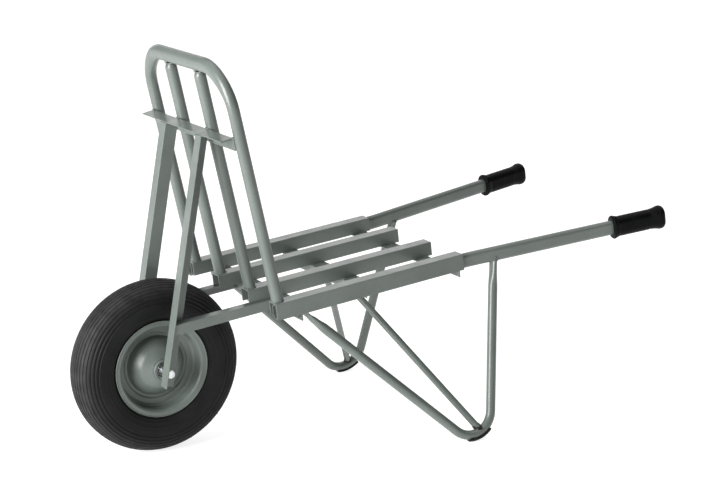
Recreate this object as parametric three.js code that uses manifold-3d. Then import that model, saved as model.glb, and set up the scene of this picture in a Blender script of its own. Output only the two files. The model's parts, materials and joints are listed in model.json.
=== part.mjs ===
// A single-wheel carrying barrow: four channel slats form an open bed that rises towards the handles,
// a leaning tube headboard stands at the front of the bed over a pneumatic wheel in an angle-steel fork,
// and two bent tube legs carry the rear. Millimetres, +Z up, handles towards +X, wheel towards -X.
// The operator stands at the handles and looks towards -X, so the left side of the barrow is -Y.

import * as THREE from 'three';
import { mergeVertices } from 'three/addons/utils/BufferGeometryUtils.js';
import Module from 'manifold-3d';

const wasm = await Module();
wasm.setup();

// ---------------------------------------------------------------------------------------------
// Driving dimensions
// ---------------------------------------------------------------------------------------------

const GAP = 0.3; // clearance between pieces that touch or are welded together
const ROOT = new THREE.Vector3(0, 0, 0);

// Wheel, a 4.00-8 pneumatic: the axle is at x = 0
const WHEEL_RADIUS = 200;
const TYRE_SEGMENTS = 36;
const BEAD_SEAT_RADIUS = 100.5;
const RIM_SHEET = 2;
const HUB_OUTER = 24;
const HUB_INNER = 20 + GAP;
const HUB_HALF_LENGTH = 55.8;
const BEARING_WIDTH = 12; // 6203: 17 x 40 x 12
const BEARING_CENTRE = HUB_HALF_LENGTH - 0.8 - BEARING_WIDTH / 2;
const BALL_PITCH = 14.25;
const BALL_RADIUS = 3.1;
const BALL_COUNT = 8;
const SLEEVE_OUTER = 8.4;
const SLEEVE_INNER = 5.4;
const BOLT_RADIUS = 5; // M10
const BOLT_FLATS = 17;
const VALVE_ANGLE = THREE.MathUtils.degToRad(60); // above +X, seen from the left
const VALVE_TILT = THREE.MathUtils.degToRad(25); // stem leans outwards from the wheel plane

// Bed
const BED_SLOPE = Math.atan2(56.2, 485);
const BED_FRONT = new THREE.Vector3(192, 0, 371); // front end of the slats' top faces
const BED_LENGTH = 488;
const SLAT_WIDTH = 36;
const SLAT_DEPTH = 32.5; // top face to the flanges' edges
const RAIL_DEPTH = 38; // the outer slats' outer flanges reach lower
const SLAT_WALL = 2.5;
const SLAT_INNER_Y = 78;
const SLAT_OUTER_Y = 221;
const BED_HALF_WIDTH = SLAT_OUTER_Y + SLAT_WIDTH / 2;
const CROSS_SHELF = 38; // the angles' level legs, under the slats
const CROSS_DROP = 20.5; // their hanging legs
const CROSS_THICKNESS = 3;
const FRONT_CROSS_X = 59; // outside corners of the angles
const MIDDLE_CROSS_X = 242;
const REAR_CROSS_X = 476;
const MIDDLE_CROSS_HALF = 206;

// Handles: flat-oval tube nested in the outer slats, spread outwards behind the bed
const HANDLE_WIDTH = 20;
const HANDLE_HEIGHT = 35;
const HANDLE_WALL = 2;
const HANDLE_BEND_X = 506;
const HANDLE_BEND_RADIUS = 120;
const HANDLE_END = new THREE.Vector3(1014, -305, -16); // in the bed's own frame
const GRIP_LENGTH = 138;
const GRIP_BODY_PAD = 7; // rubber thickness over the tube
const GRIP_BEAD_PAD = 11;
const GRIP_END_WALL = 4;

// Headboard
const HEAD_LEAN = THREE.MathUtils.degToRad(12.84);
const HEAD_BASE_X = 14; // from the slats' front ends to the tubes' centres
const HEAD_HEIGHT = 541.3; // along the tubes, to the top bar's centre line
const HEAD_HALF_WIDTH = 217.5; // middle plane to the hoop's side tubes
const HEAD_TUBE = 13.5;
const HEAD_TUBE_WALL = 2;
const HEAD_TOP_DEPTH = 36; // the hoop's tube is oval across the top, with the extra depth inside
const HEAD_CORNER_RADIUS = 100;
const HEAD_ANGLE_LEG = 30;
const HEAD_ANGLE_TOP = 389;
const HEAD_ANGLE_HALF = 213;

// Fork
const STRUT_LEG = 30;
const ANGLE_THICKNESS = 3;
const STRUT_INNER_Y = 80;
const STRUT_AXLE_OFFSET = 16; // from the strut's front corner back to the axle, at axle height
const STRUT_TAIL = 27; // below the axle
const STAY_LEG = 23;

// Legs
const LEG_TUBE = 11;
const LEG_TUBE_WALL = 1.5;
const LEG_ARM_TOP = new THREE.Vector3(276, -224, 333);
const LEG_CORNER = new THREE.Vector3(697, -332.5, -42.3); // where the two straight arms would meet
const LEG_POST_TOP = new THREE.Vector3(762.5, -235.5, 398.7);
const LEG_BEND_RADIUS = 57;
const SHOE_THICKNESS = 4;
const SHOE_HALF_ANGLE = THREE.MathUtils.degToRad(52);
const SHOE_SPAN = [0.28, 0.7]; // part of the bend that the shoe covers, counted from the front arm
const BRACE_TUBE = 8;
const BRACE_TUBE_WALL = 1.5;
const BRACE_TOP = new THREE.Vector3(457.4, -31, 366);
const BRACE_FOOT = new THREE.Vector3(675.5, -315.6, 26.5); // inside the leg, before coping

// ---------------------------------------------------------------------------------------------
// Finishes
// ---------------------------------------------------------------------------------------------

const FINISHES = {
  paint: { color: 0x828c88, roughness: 0.42, metalness: 0.35 },
  rubber: { color: 0x1d1d1f, roughness: 0.8, metalness: 0 },
  tyre: { color: 0x232325, roughness: 0.85, metalness: 0 },
  zinc: { color: 0xc9ccc9, roughness: 0.3, metalness: 0.9 },
  steel: { color: 0x9a9c9e, roughness: 0.3, metalness: 1 },
};

// ---------------------------------------------------------------------------------------------
// Shape helpers
// ---------------------------------------------------------------------------------------------

// A run of ring stations. Each station has a point and may scale the section sideways and upwards.
class Run extends THREE.Curve {
  constructor(stations, up) {
    super();
    this.stations = stations;
    this.up = up;
  }

  station(u) {
    return this.stations[Math.round(u * (this.stations.length - 1))];
  }

  getPoint(u) {
    return this.station(u).point.clone();
  }

  getPointAt(u) {
    return this.getPoint(u);
  }

  directionAt(index) {
    const before = this.stations[Math.max(index - 1, 0)].point;
    const here = this.stations[index].point;
    const after = this.stations[Math.min(index + 1, this.stations.length - 1)].point;
    const into = here.clone().sub(before).normalize();
    const out = after.clone().sub(here).normalize();
    return into.add(out).normalize();
  }

  // The section's x axis lies along up x travel, and its y axis as near to up as it can.
  computeFrenetFrames() {
    const frames = { tangents: [], normals: [], binormals: [] };
    this.stations.forEach((station, index) => {
      const travel = this.directionAt(index);
      const up = this.up.clone().addScaledVector(travel, -this.up.dot(travel)).normalize();
      const side = up.clone().cross(travel);
      frames.tangents.push(travel);
      frames.normals.push(side.multiplyScalar(station.side ?? 1));
      frames.binormals.push(up.multiplyScalar(station.rise ?? 1));
    });
    return frames;
  }
}

// Vertices shared, and only positions kept, so that the surface is one closed skin.
function closed(geometry) {
  geometry.deleteAttribute('normal');
  geometry.deleteAttribute('uv');
  return mergeVertices(geometry, 1e-3);
}

function sweep(shape, stations, up, curveSegments = 6) {
  const run = new Run(stations, up.clone().normalize());
  const steps = stations.length - 1;
  return closed(new THREE.ExtrudeGeometry(shape, { extrudePath: run, steps, curveSegments }));
}

function bar(shape, from, to, up, curveSegments = 6) {
  return sweep(shape, [{ point: from }, { point: to }], up, curveSegments);
}

// Ring stations along straight lines through the given points, with a round bend at each inner point.
function bent(points, radius, stepsPerBend) {
  const stations = [{ point: points[0].clone() }];
  for (let i = 1; i < points.length - 1; i += 1) {
    const back = points[i - 1].clone().sub(points[i]).normalize();
    const ahead = points[i + 1].clone().sub(points[i]).normalize();
    const half = back.angleTo(ahead) / 2;
    const towards = back.clone().add(ahead).normalize();
    const centre = points[i].clone().addScaledVector(towards, radius / Math.sin(half));
    const start = points[i].clone().addScaledVector(back, radius / Math.tan(half)).sub(centre);
    const finish = points[i].clone().addScaledVector(ahead, radius / Math.tan(half)).sub(centre);
    const turn = Math.PI - 2 * half;
    const axis = start.clone().cross(finish).normalize();
    for (let step = 0; step <= stepsPerBend; step += 1) {
      const spoke = start.clone().applyAxisAngle(axis, (turn * step) / stepsPerBend);
      stations.push({ point: spoke.add(centre) });
    }
  }
  stations.push({ point: points[points.length - 1].clone() });
  return stations;
}

// Slides the end ring nearest to a point along the travel direction until it lies in a plane.
function mitre(geometry, end, travel, plane) {
  const position = geometry.getAttribute('position');
  const vertex = new THREE.Vector3();
  const direction = travel.clone().normalize();
  const rate = plane.normal.dot(direction);
  for (let i = 0; i < position.count; i += 1) {
    vertex.fromBufferAttribute(position, i);
    const along = vertex.clone().sub(end).dot(direction);
    if (Math.abs(along) < 0.5 && vertex.distanceTo(end) < 60) {
      vertex.addScaledVector(direction, -plane.distanceToPoint(vertex) / rate);
      position.setXYZ(i, vertex.x, vertex.y, vertex.z);
    }
  }
  return geometry;
}

function mirrored(geometry) {
  const copy = geometry.clone();
  copy.scale(1, -1, 1);
  const index = copy.getIndex();
  for (let i = 0; i < index.count; i += 3) {
    const second = index.getX(i + 1);
    index.setX(i + 1, index.getX(i + 2));
    index.setX(i + 2, second);
  }
  return copy;
}

function solid(geometry) {
  const vertProperties = new Float32Array(geometry.getAttribute('position').array);
  const triVerts = new Uint32Array(geometry.getIndex().array);
  return new wasm.Manifold(new wasm.Mesh({ numProp: 3, vertProperties, triVerts }));
}

function geometryOf(manifold) {
  const mesh = manifold.getMesh();
  const geometry = new THREE.BufferGeometry();
  geometry.setAttribute('position', new THREE.BufferAttribute(new Float32Array(mesh.vertProperties), 3));
  geometry.setIndex(new THREE.BufferAttribute(new Uint32Array(mesh.triVerts), 1));
  return geometry;
}

function cut(geometry, ...tools) {
  return geometryOf(tools.reduce((left, tool) => left.subtract(solid(tool)), solid(geometry)));
}

// ---------------------------------------------------------------------------------------------
// Sections and turned profiles
// ---------------------------------------------------------------------------------------------

function polygon(pairs) {
  return new THREE.Shape(pairs.map(([x, y]) => new THREE.Vector2(x, y)));
}

function disc(radius) {
  return new THREE.Shape().absarc(0, 0, radius, 0, 2 * Math.PI);
}

function pipe(outer, wall) {
  const shape = disc(outer);
  shape.holes.push(new THREE.Path().absarc(0, 0, outer - wall, 0, 2 * Math.PI));
  return shape;
}

function stadium(width, height, PathType = THREE.Shape) {
  const radius = width / 2;
  const straight = height / 2 - radius;
  const path = new PathType();
  path.moveTo(radius, -straight);
  path.lineTo(radius, straight);
  path.absarc(0, straight, radius, 0, Math.PI);
  path.lineTo(-radius, -straight);
  path.absarc(0, -straight, radius, Math.PI, 2 * Math.PI);
  return path;
}

function angleSection(leg, thickness) {
  return polygon([[0, 0], [leg, 0], [leg, thickness], [thickness, thickness], [thickness, leg], [0, leg]]);
}

function box(width, depth, height) {
  return closed(new THREE.BoxGeometry(width, depth, height));
}

// Turns a closed outline of [radius, y] pairs about the wheel's axis, which is Y.
function turned(outline, segments) {
  const points = outline.map(([radius, y]) => new THREE.Vector2(radius, y));
  if (THREE.ShapeUtils.area(points) < 0) points.reverse();
  points.push(points[0].clone());
  return closed(new THREE.LatheGeometry(points, segments));
}

function ring(inner, outer, y0, y1, segments = 16) {
  return turned([[inner, y0], [outer, y0], [outer, y1], [inner, y1]], segments);
}

// The outline of a thin sheet that follows a line of [radius, y] points.
function sheetOutline(line, thickness) {
  const offset = (sign) => line.map(([radius, y], i) => {
    const before = line[Math.max(i - 1, 0)];
    const after = line[Math.min(i + 1, line.length - 1)];
    const length = Math.hypot(after[0] - before[0], after[1] - before[1]);
    const reach = (sign * thickness) / 2 / length;
    return [radius - reach * (after[1] - before[1]), y + reach * (after[0] - before[0])];
  });
  return [...offset(1), ...offset(-1).reverse()];
}

// ---------------------------------------------------------------------------------------------
// Assembly helpers
// ---------------------------------------------------------------------------------------------

const barrow = new THREE.Group();
const bed = new THREE.Group();
const headboard = new THREE.Group();
const wheel = new THREE.Group();
barrow.add(bed, headboard, wheel);
bed.position.copy(BED_FRONT);
bed.rotation.y = -BED_SLOPE;
wheel.position.set(0, 0, WHEEL_RADIUS);

function place(parent, name, geometry, finish) {
  const material = new THREE.MeshStandardMaterial({ ...FINISHES[finish], flatShading: true });
  const mesh = new THREE.Mesh(geometry, material);
  mesh.name = name;
  parent.add(mesh);
  return mesh;
}

function placePair(parent, name, leftGeometry, finish) {
  place(parent, `${name}_left`, leftGeometry, finish);
  place(parent, `${name}_right`, mirrored(leftGeometry), finish);
}

const X_AXIS = new THREE.Vector3(1, 0, 0);
const Y_AXIS = new THREE.Vector3(0, 1, 0);
const Z_AXIS = new THREE.Vector3(0, 0, 1);
const point = (x, y, z) => new THREE.Vector3(x, y, z);
const planeAt = (normal, through) => new THREE.Plane().setFromNormalAndCoplanarPoint(normal, through);

// The bed's plane directions and the underside of the slats, in the barrow's frame.
const bedAlong = X_AXIS.clone().applyAxisAngle(Y_AXIS, -BED_SLOPE);
const bedNormal = Z_AXIS.clone().applyAxisAngle(Y_AXIS, -BED_SLOPE);
const bedPoint = (x, y, z) => bed.localToWorld(point(x, y, z));
bed.updateMatrixWorld(true);

// ---------------------------------------------------------------------------------------------
// Bed: slats and cross angles
// ---------------------------------------------------------------------------------------------

function slatSection(leftDepth, rightDepth) {
  const half = SLAT_WIDTH / 2;
  const inner = half - SLAT_WALL;
  const corner = 2;
  return polygon([
    [-half, -rightDepth], [-inner, -rightDepth], [-inner, -SLAT_WALL], [inner, -SLAT_WALL],
    [inner, -leftDepth], [half, -leftDepth], [half, -corner], [half - corner / 3, -corner / 3],
    [half - corner, 0], [corner - half, 0], [corner / 3 - half, -corner / 3], [-half, -corner],
  ]);
}

function buildBed() {
  const slats = [
    ['slat_left_outer', -SLAT_OUTER_Y, RAIL_DEPTH, SLAT_DEPTH],
    ['slat_left_inner', -SLAT_INNER_Y, SLAT_DEPTH, SLAT_DEPTH],
    ['slat_right_inner', SLAT_INNER_Y, SLAT_DEPTH, SLAT_DEPTH],
    ['slat_right_outer', SLAT_OUTER_Y, SLAT_DEPTH, RAIL_DEPTH],
  ];
  for (const [name, y, leftDepth, rightDepth] of slats) {
    const slat = bar(slatSection(leftDepth, rightDepth), point(BED_LENGTH, 0, 0), ROOT, Z_AXIS);
    place(bed, name, slat, 'paint').position.y = y;
  }
  buildCross('front_cross_angle', FRONT_CROSS_X, 1, BED_HALF_WIDTH - GAP);
  buildCross('middle_cross_angle', MIDDLE_CROSS_X, 1, MIDDLE_CROSS_HALF);
  buildCross('rear_cross_angle', REAR_CROSS_X, -1, BED_HALF_WIDTH - GAP);
}

// One leg lies level under the slats and points along the bed; the other hangs from its outside corner.
function buildCross(name, cornerX, pointing, halfLength) {
  const section = polygon([
    [0, 0], [0, -CROSS_DROP], [CROSS_THICKNESS, -CROSS_DROP], [CROSS_THICKNESS, -CROSS_THICKNESS],
    [CROSS_SHELF, -CROSS_THICKNESS], [CROSS_SHELF, 0],
  ]);
  const top = -SLAT_DEPTH - GAP;
  const from = point(cornerX, pointing * halfLength, top);
  const to = point(cornerX, -pointing * halfLength, top);
  const cross = bar(section, from, to, Z_AXIS);
  // Notched at both ends to pass under the handle tube and the deeper outer flange.
  const notchInside = SLAT_OUTER_Y + SLAT_WIDTH / 2 - SLAT_WALL - HANDLE_WIDTH - 2 * GAP;
  const notches = [1, -1].map((side) => {
    const notch = box(200, 100, 100);
    return notch.translate(cornerX, side * (notchInside + 50), -RAIL_DEPTH - GAP + 50);
  });
  place(bed, name, cut(cross, ...notches), 'paint');
}

// ---------------------------------------------------------------------------------------------
// Handles and grips
// ---------------------------------------------------------------------------------------------

const handleStart = point(
  0,
  -(SLAT_OUTER_Y + SLAT_WIDTH / 2 - SLAT_WALL - GAP - HANDLE_WIDTH / 2),
  -(SLAT_WALL + GAP + HANDLE_HEIGHT / 2),
);
const handleCorner = point(HANDLE_BEND_X, handleStart.y, handleStart.z);
const handleSpread = HANDLE_END.clone().sub(handleCorner).normalize();

function handleTube(growth, wall) {
  const shape = stadium(HANDLE_WIDTH + 2 * growth, HANDLE_HEIGHT + 2 * growth);
  if (wall) shape.holes.push(stadium(HANDLE_WIDTH - 2 * wall, HANDLE_HEIGHT - 2 * wall, THREE.Path));
  const end = HANDLE_END.clone().addScaledVector(handleSpread, -GRIP_END_WALL - GAP);
  return sweep(shape, bent([handleStart, handleCorner, end], HANDLE_BEND_RADIUS, 3), Z_AXIS, 4);
}

// The grip is a rubber cup over the tube: a bead at its mouth, a long body and a flared end.
function gripGeometry() {
  const rings = [
    [0, GRIP_BEAD_PAD - 1.5], [1.5, GRIP_BEAD_PAD], [6, GRIP_BEAD_PAD], [8.5, GRIP_BODY_PAD],
    [GRIP_LENGTH - 32, GRIP_BODY_PAD], [GRIP_LENGTH - 22, GRIP_BODY_PAD + 1],
    [GRIP_LENGTH - 12, GRIP_BEAD_PAD], [GRIP_LENGTH - 4, GRIP_BEAD_PAD],
    [GRIP_LENGTH - 1, GRIP_BEAD_PAD - 1.5], [GRIP_LENGTH, GRIP_BODY_PAD],
  ];
  const mouth = HANDLE_END.clone().addScaledVector(handleSpread, -GRIP_LENGTH);
  const stations = rings.map(([along, pad]) => ({
    point: mouth.clone().addScaledVector(handleSpread, along),
    side: (HANDLE_WIDTH / 2 + pad) / (HANDLE_WIDTH / 2),
    rise: (HANDLE_HEIGHT / 2 + pad) / (HANDLE_HEIGHT / 2),
  }));
  const outer = sweep(stadium(HANDLE_WIDTH, HANDLE_HEIGHT), stations, Z_AXIS, 5);
  const socket = bar(
    stadium(HANDLE_WIDTH + 2 * GAP, HANDLE_HEIGHT + 2 * GAP),
    mouth.clone().addScaledVector(handleSpread, -5),
    HANDLE_END.clone().addScaledVector(handleSpread, -GRIP_END_WALL),
    Z_AXIS,
  );
  return cut(outer, socket);
}

// ---------------------------------------------------------------------------------------------
// Headboard: a bent hoop, two inner bars and a cross angle, drawn upright in their own frame
// ---------------------------------------------------------------------------------------------

headboard.position.copy(bedPoint(HEAD_BASE_X, 0, 0));
headboard.rotation.y = -HEAD_LEAN;
headboard.updateMatrixWorld(true);

// The round tube grows into an oval through each corner, and its outer side stays on the path's curve.
function deepened(stations) {
  const run = new Run(stations, X_AXIS);
  return stations.map((station, index) => {
    const travel = run.directionAt(index);
    const share = THREE.MathUtils.smoothstep(Math.abs(travel.y), 0.2, 0.85);
    const extra = (HEAD_TOP_DEPTH / 2 - HEAD_TUBE) * share;
    const inward = travel.clone().cross(X_AXIS);
    return { point: station.point.clone().addScaledVector(inward, extra), side: 1 + extra / HEAD_TUBE };
  });
}

function buildHeadboard() {
  const seatNormal = Z_AXIS.clone().applyAxisAngle(Y_AXIS, HEAD_LEAN - BED_SLOPE);
  const seat = planeAt(seatNormal, seatNormal.clone().multiplyScalar(GAP));
  const feet = [point(0, -HEAD_HALF_WIDTH, 0), point(0, HEAD_HALF_WIDTH, 0)];
  const corners = feet.map((foot) => foot.clone().setZ(HEAD_HEIGHT));
  const path = bent([feet[0], ...corners, feet[1]], HEAD_CORNER_RADIUS, 6);
  const hoop = sweep(pipe(HEAD_TUBE, HEAD_TUBE_WALL), deepened(path), X_AXIS, 8);
  for (const foot of feet) mitre(hoop, foot, Z_AXIS, seat);
  place(headboard, 'headboard_hoop', hoop, 'paint');

  // The bars are pinched where they meet the top of the hoop.
  const barTop = HEAD_HEIGHT + HEAD_TUBE - HEAD_TOP_DEPTH - GAP;
  const barStations = [
    { point: ROOT },
    { point: point(0, 0, barTop - 14) },
    { point: point(0, 0, barTop - 5), side: 0.92, rise: 0.82 },
    { point: point(0, 0, barTop), side: 0.7, rise: 0.6 },
  ];
  const upright = sweep(pipe(HEAD_TUBE, HEAD_TUBE_WALL), barStations, X_AXIS, 8);
  mitre(upright, ROOT, Z_AXIS, seat);
  place(headboard, 'headboard_bar_left', upright, 'paint').position.y = -SLAT_INNER_Y;
  place(headboard, 'headboard_bar_right', upright.clone(), 'paint').position.y = SLAT_INNER_Y;

  // Corner at the top rear: one leg points forwards, the other hangs down the tubes' fronts.
  const section = polygon([
    [0, 0], [0, -HEAD_ANGLE_LEG], [ANGLE_THICKNESS, -HEAD_ANGLE_LEG], [ANGLE_THICKNESS, -ANGLE_THICKNESS],
    [HEAD_ANGLE_LEG, -ANGLE_THICKNESS], [HEAD_ANGLE_LEG, 0],
  ]);
  const ends = [point(0, -HEAD_ANGLE_HALF, 0), point(0, HEAD_ANGLE_HALF, 0)];
  const angle = place(headboard, 'headboard_cross_angle', bar(section, ...ends, Z_AXIS), 'paint');
  angle.position.set(-HEAD_TUBE - GAP, 0, HEAD_ANGLE_TOP);
}

// ---------------------------------------------------------------------------------------------
// Fork: two angle struts from the headboard to the axle, and two stays back under the bed
// ---------------------------------------------------------------------------------------------

function buildFork() {
  const shelf = HEAD_ANGLE_TOP - ANGLE_THICKNESS - GAP;
  const strutTop = headboard.localToWorld(point(-HEAD_TUBE - GAP - HEAD_ANGLE_LEG, -STRUT_INNER_Y, shelf));
  const atAxle = point(-STRUT_AXLE_OFFSET, -STRUT_INNER_Y, WHEEL_RADIUS);
  const rise = strutTop.clone().sub(atAxle).normalize();
  const rearward = rise.clone().cross(Y_AXIS).normalize().negate();
  const foot = atAxle.clone().addScaledVector(rise, -STRUT_TAIL);
  const shelfNormal = Z_AXIS.clone().applyAxisAngle(Y_AXIS, -HEAD_LEAN);
  const strut = bar(angleSection(STRUT_LEG, ANGLE_THICKNESS), foot, strutTop, rearward);
  mitre(strut, strutTop, rise, planeAt(shelfNormal, strutTop));
  const boltHole = closed(new THREE.CylinderGeometry(BOLT_RADIUS + GAP, BOLT_RADIUS + GAP, 20, 20));
  boltHole.translate(0, -STRUT_INNER_Y, WHEEL_RADIUS);
  // The top end is notched to clear the leg of the cross angle that hangs behind it.
  const notch = box(80, 120, 160).translate(40 - HEAD_TUBE - ANGLE_THICKNESS - 2 * GAP, 0, HEAD_ANGLE_TOP);
  notch.translate(0, -STRUT_INNER_Y, 0).applyMatrix4(headboard.matrixWorld);
  placePair(barrow, 'fork_strut', cut(strut, boltHole, notch), 'paint');

  // Horizontal leg on top; vertical leg on the outer side. It starts behind the strut's cross leg.
  const outerY = -(STRUT_INNER_Y + ANGLE_THICKNESS + GAP + STAY_LEG);
  const stayFrontX = -BED_FRONT.x;
  const stayRearX = FRONT_CROSS_X - GAP;
  const front = bedPoint(stayFrontX, outerY, -SLAT_DEPTH - GAP);
  const rear = bedPoint(stayRearX, outerY, -SLAT_DEPTH - GAP);
  const section = polygon([
    [0, 0], [0, -STAY_LEG], [ANGLE_THICKNESS, -STAY_LEG], [ANGLE_THICKNESS, -ANGLE_THICKNESS],
    [STAY_LEG, -ANGLE_THICKNESS], [STAY_LEG, 0],
  ]);
  const stay = bar(section, front, rear, bedNormal);
  const backOfLeg = atAxle.clone().addScaledVector(rearward, ANGLE_THICKNESS + GAP);
  mitre(stay, front, bedAlong, planeAt(rearward, backOfLeg));
  placePair(barrow, 'fork_stay', stay, 'paint');
}

// ---------------------------------------------------------------------------------------------
// Legs: a bent tube with squashed ends, a brace and a wear shoe on each side
// ---------------------------------------------------------------------------------------------

const legNormal = LEG_CORNER.clone().sub(LEG_ARM_TOP).cross(LEG_POST_TOP.clone().sub(LEG_CORNER)).normalize();

function legStations() {
  const stations = bent([LEG_ARM_TOP, LEG_CORNER, LEG_POST_TOP], LEG_BEND_RADIUS, 9);
  const armDirection = LEG_CORNER.clone().sub(LEG_ARM_TOP).normalize();
  const postDirection = LEG_CORNER.clone().sub(LEG_POST_TOP).normalize();
  const squash = (start, direction, along, side, rise) => ({
    point: start.clone().addScaledVector(direction, along), side, rise,
  });
  const armEnd = [
    squash(LEG_ARM_TOP, armDirection, 0, 0.3, 1.38),
    squash(LEG_ARM_TOP, armDirection, 20, 0.52, 1.28),
    squash(LEG_ARM_TOP, armDirection, 42, 0.78, 1.13),
    squash(LEG_ARM_TOP, armDirection, 62, 1, 1),
  ];
  const postEnd = [
    squash(LEG_POST_TOP, postDirection, 62, 1, 1),
    squash(LEG_POST_TOP, postDirection, 40, 0.86, 1.1),
    squash(LEG_POST_TOP, postDirection, 18, 0.7, 1.22),
    squash(LEG_POST_TOP, postDirection, -8, 0.68, 1.24),
  ];
  return [...armEnd, ...stations.slice(1, -1), ...postEnd];
}

function buildLegs() {
  const leg = sweep(pipe(LEG_TUBE, LEG_TUBE_WALL), legStations(), legNormal, 6);
  const underBed = planeAt(bedNormal, bedPoint(0, 0, -RAIL_DEPTH - GAP));
  mitre(leg, LEG_ARM_TOP, LEG_CORNER.clone().sub(LEG_ARM_TOP), underBed);
  const handle = handleTube(GAP, 0).applyMatrix4(bed.matrixWorld);
  placePair(barrow, 'leg', cut(leg, handle), 'paint');

  // The shoe is a saddle along the outside of the bend, worn flat where it meets the ground.
  const bend = bent([LEG_ARM_TOP, LEG_CORNER, LEG_POST_TOP], LEG_BEND_RADIUS, 14).slice(1, -1);
  const [first, last] = SHOE_SPAN.map((share) => Math.round(share * (bend.length - 1)));
  const inner = LEG_TUBE + 2 * GAP;
  const saddle = new THREE.Shape();
  const [from, to] = [Math.PI - SHOE_HALF_ANGLE, Math.PI + SHOE_HALF_ANGLE];
  saddle.absarc(0, 0, inner + SHOE_THICKNESS, from, to);
  saddle.absarc(0, 0, inner, to, from, true);
  const shoe = sweep(saddle, bend.slice(first, last + 1), legNormal, 4);
  const ground = box(400, 400, 40).translate(LEG_CORNER.x, LEG_CORNER.y, -20);
  placePair(barrow, 'foot_shoe', cut(shoe, ground), 'rubber');

  const brace = bar(pipe(BRACE_TUBE, BRACE_TUBE_WALL), BRACE_TOP, BRACE_FOOT, X_AXIS, 6);
  const underShelf = bedPoint(0, 0, -SLAT_DEPTH - CROSS_THICKNESS - 2 * GAP);
  mitre(brace, BRACE_TOP, BRACE_FOOT.clone().sub(BRACE_TOP), planeAt(bedNormal, underShelf));
  const legCore = sweep(disc(LEG_TUBE + GAP), legStations(), legNormal, 6);
  placePair(barrow, 'leg_brace', cut(brace, legCore), 'paint');
}

// ---------------------------------------------------------------------------------------------
// Wheel: tyre, inner tube, two pressed shells, hub and sealed ball bearings
// ---------------------------------------------------------------------------------------------

// Half of the tyre's section as [radius, y], from bead to crown.
const TYRE_OUTER = [
  [103, 38], [111, 38.3], [123, 45], [147, 50], [168, 48.5], [185, 40.5], [195.5, 25], [WHEEL_RADIUS, 8],
];
const TYRE_INNER = [[103, 33], [124, 39], [147, 44], [168, 42], [184, 30], [192, 10]];

// The rim shell's middle surface as [radius, y]: rolled lip, flange, bead seat, step and dome.
const RIM_LINE = [
  [112, 43.5], [109, 41], [102, 40], [99, 36], [97, 12], [90, 6], [78, 5], [70, 2.4], [63, 13], [46, 33],
  [25.4, 44.5],
];

const reflectedOutline = (half) => [...half, ...half.map(([radius, y]) => [radius, -y]).reverse()];

function turnedPair(name, outline, finish, segments) {
  const left = turned(outline.map(([radius, y]) => [radius, -y]), segments);
  return { name, left, finish };
}

// The stem's own frame: origin on the bead seat, z pointing out of the hole towards the hub.
function valveMatrix() {
  const inward = point(-Math.cos(VALVE_ANGLE), 0, -Math.sin(VALVE_ANGLE));
  const stemAxis = inward.multiplyScalar(Math.cos(VALVE_TILT)).addScaledVector(Y_AXIS, -Math.sin(VALVE_TILT));
  const seat = point(
    BEAD_SEAT_RADIUS * Math.cos(VALVE_ANGLE), -22, BEAD_SEAT_RADIUS * Math.sin(VALVE_ANGLE),
  );
  const turn = new THREE.Quaternion().setFromUnitVectors(Z_AXIS, stemAxis);
  return new THREE.Matrix4().compose(seat, turn, point(1, 1, 1));
}

function valvePiece(outline, segments = 10) {
  return turned(outline, segments).rotateX(Math.PI / 2).applyMatrix4(valveMatrix());
}

function buildWheel() {
  const tyreInside = reflectedOutline(TYRE_INNER).reverse();
  place(wheel, 'tyre', turned([...reflectedOutline(TYRE_OUTER), ...tyreInside], TYRE_SEGMENTS), 'tyre');

  const valveHole = valvePiece([[0, -30], [5, -30], [5, 12], [0, 12]]);
  const shell = turnedPair('rim_shell', sheetOutline(RIM_LINE, RIM_SHEET), 'paint', TYRE_SEGMENTS);
  place(wheel, 'rim_shell_left', cut(shell.left, valveHole), shell.finish);
  place(wheel, 'rim_shell_right', mirrored(shell.left), shell.finish);

  // The inner tube is a hollow ring, open where the valve stem enters it.
  const tubeSection = (radial, axial) => Array.from({ length: 10 }, (_, i) => {
    const angle = (2 * Math.PI * i) / 10;
    return [148 + radial * Math.cos(angle), axial * Math.sin(angle)];
  });
  const tubeHollow = turned(tubeSection(34, 36), TYRE_SEGMENTS / 2);
  const tubeSkin = turned(tubeSection(36.5, 38.5), TYRE_SEGMENTS / 2);
  place(wheel, 'inner_tube', cut(tubeSkin, tubeHollow, valveHole), 'rubber');

  const stem = [[0, -14], [4.4, -14], [4.4, 7], [5.6, 8], [4, 12], [3.4, 21], [2.2, 22], [2.2, 26], [0, 26]];
  const cap = [[0, 26.4], [2.6, 26.4], [2.6, 22.6], [4, 22.6], [4, 30], [3, 31.5], [0, 31.5]];
  place(wheel, 'valve_stem', valvePiece(stem), 'rubber');
  place(wheel, 'valve_cap', valvePiece(cap), 'rubber');

  place(wheel, 'hub_tube', ring(HUB_INNER, HUB_OUTER, -HUB_HALF_LENGTH, HUB_HALF_LENGTH, 32), 'paint');
  buildBearings();
}

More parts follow.
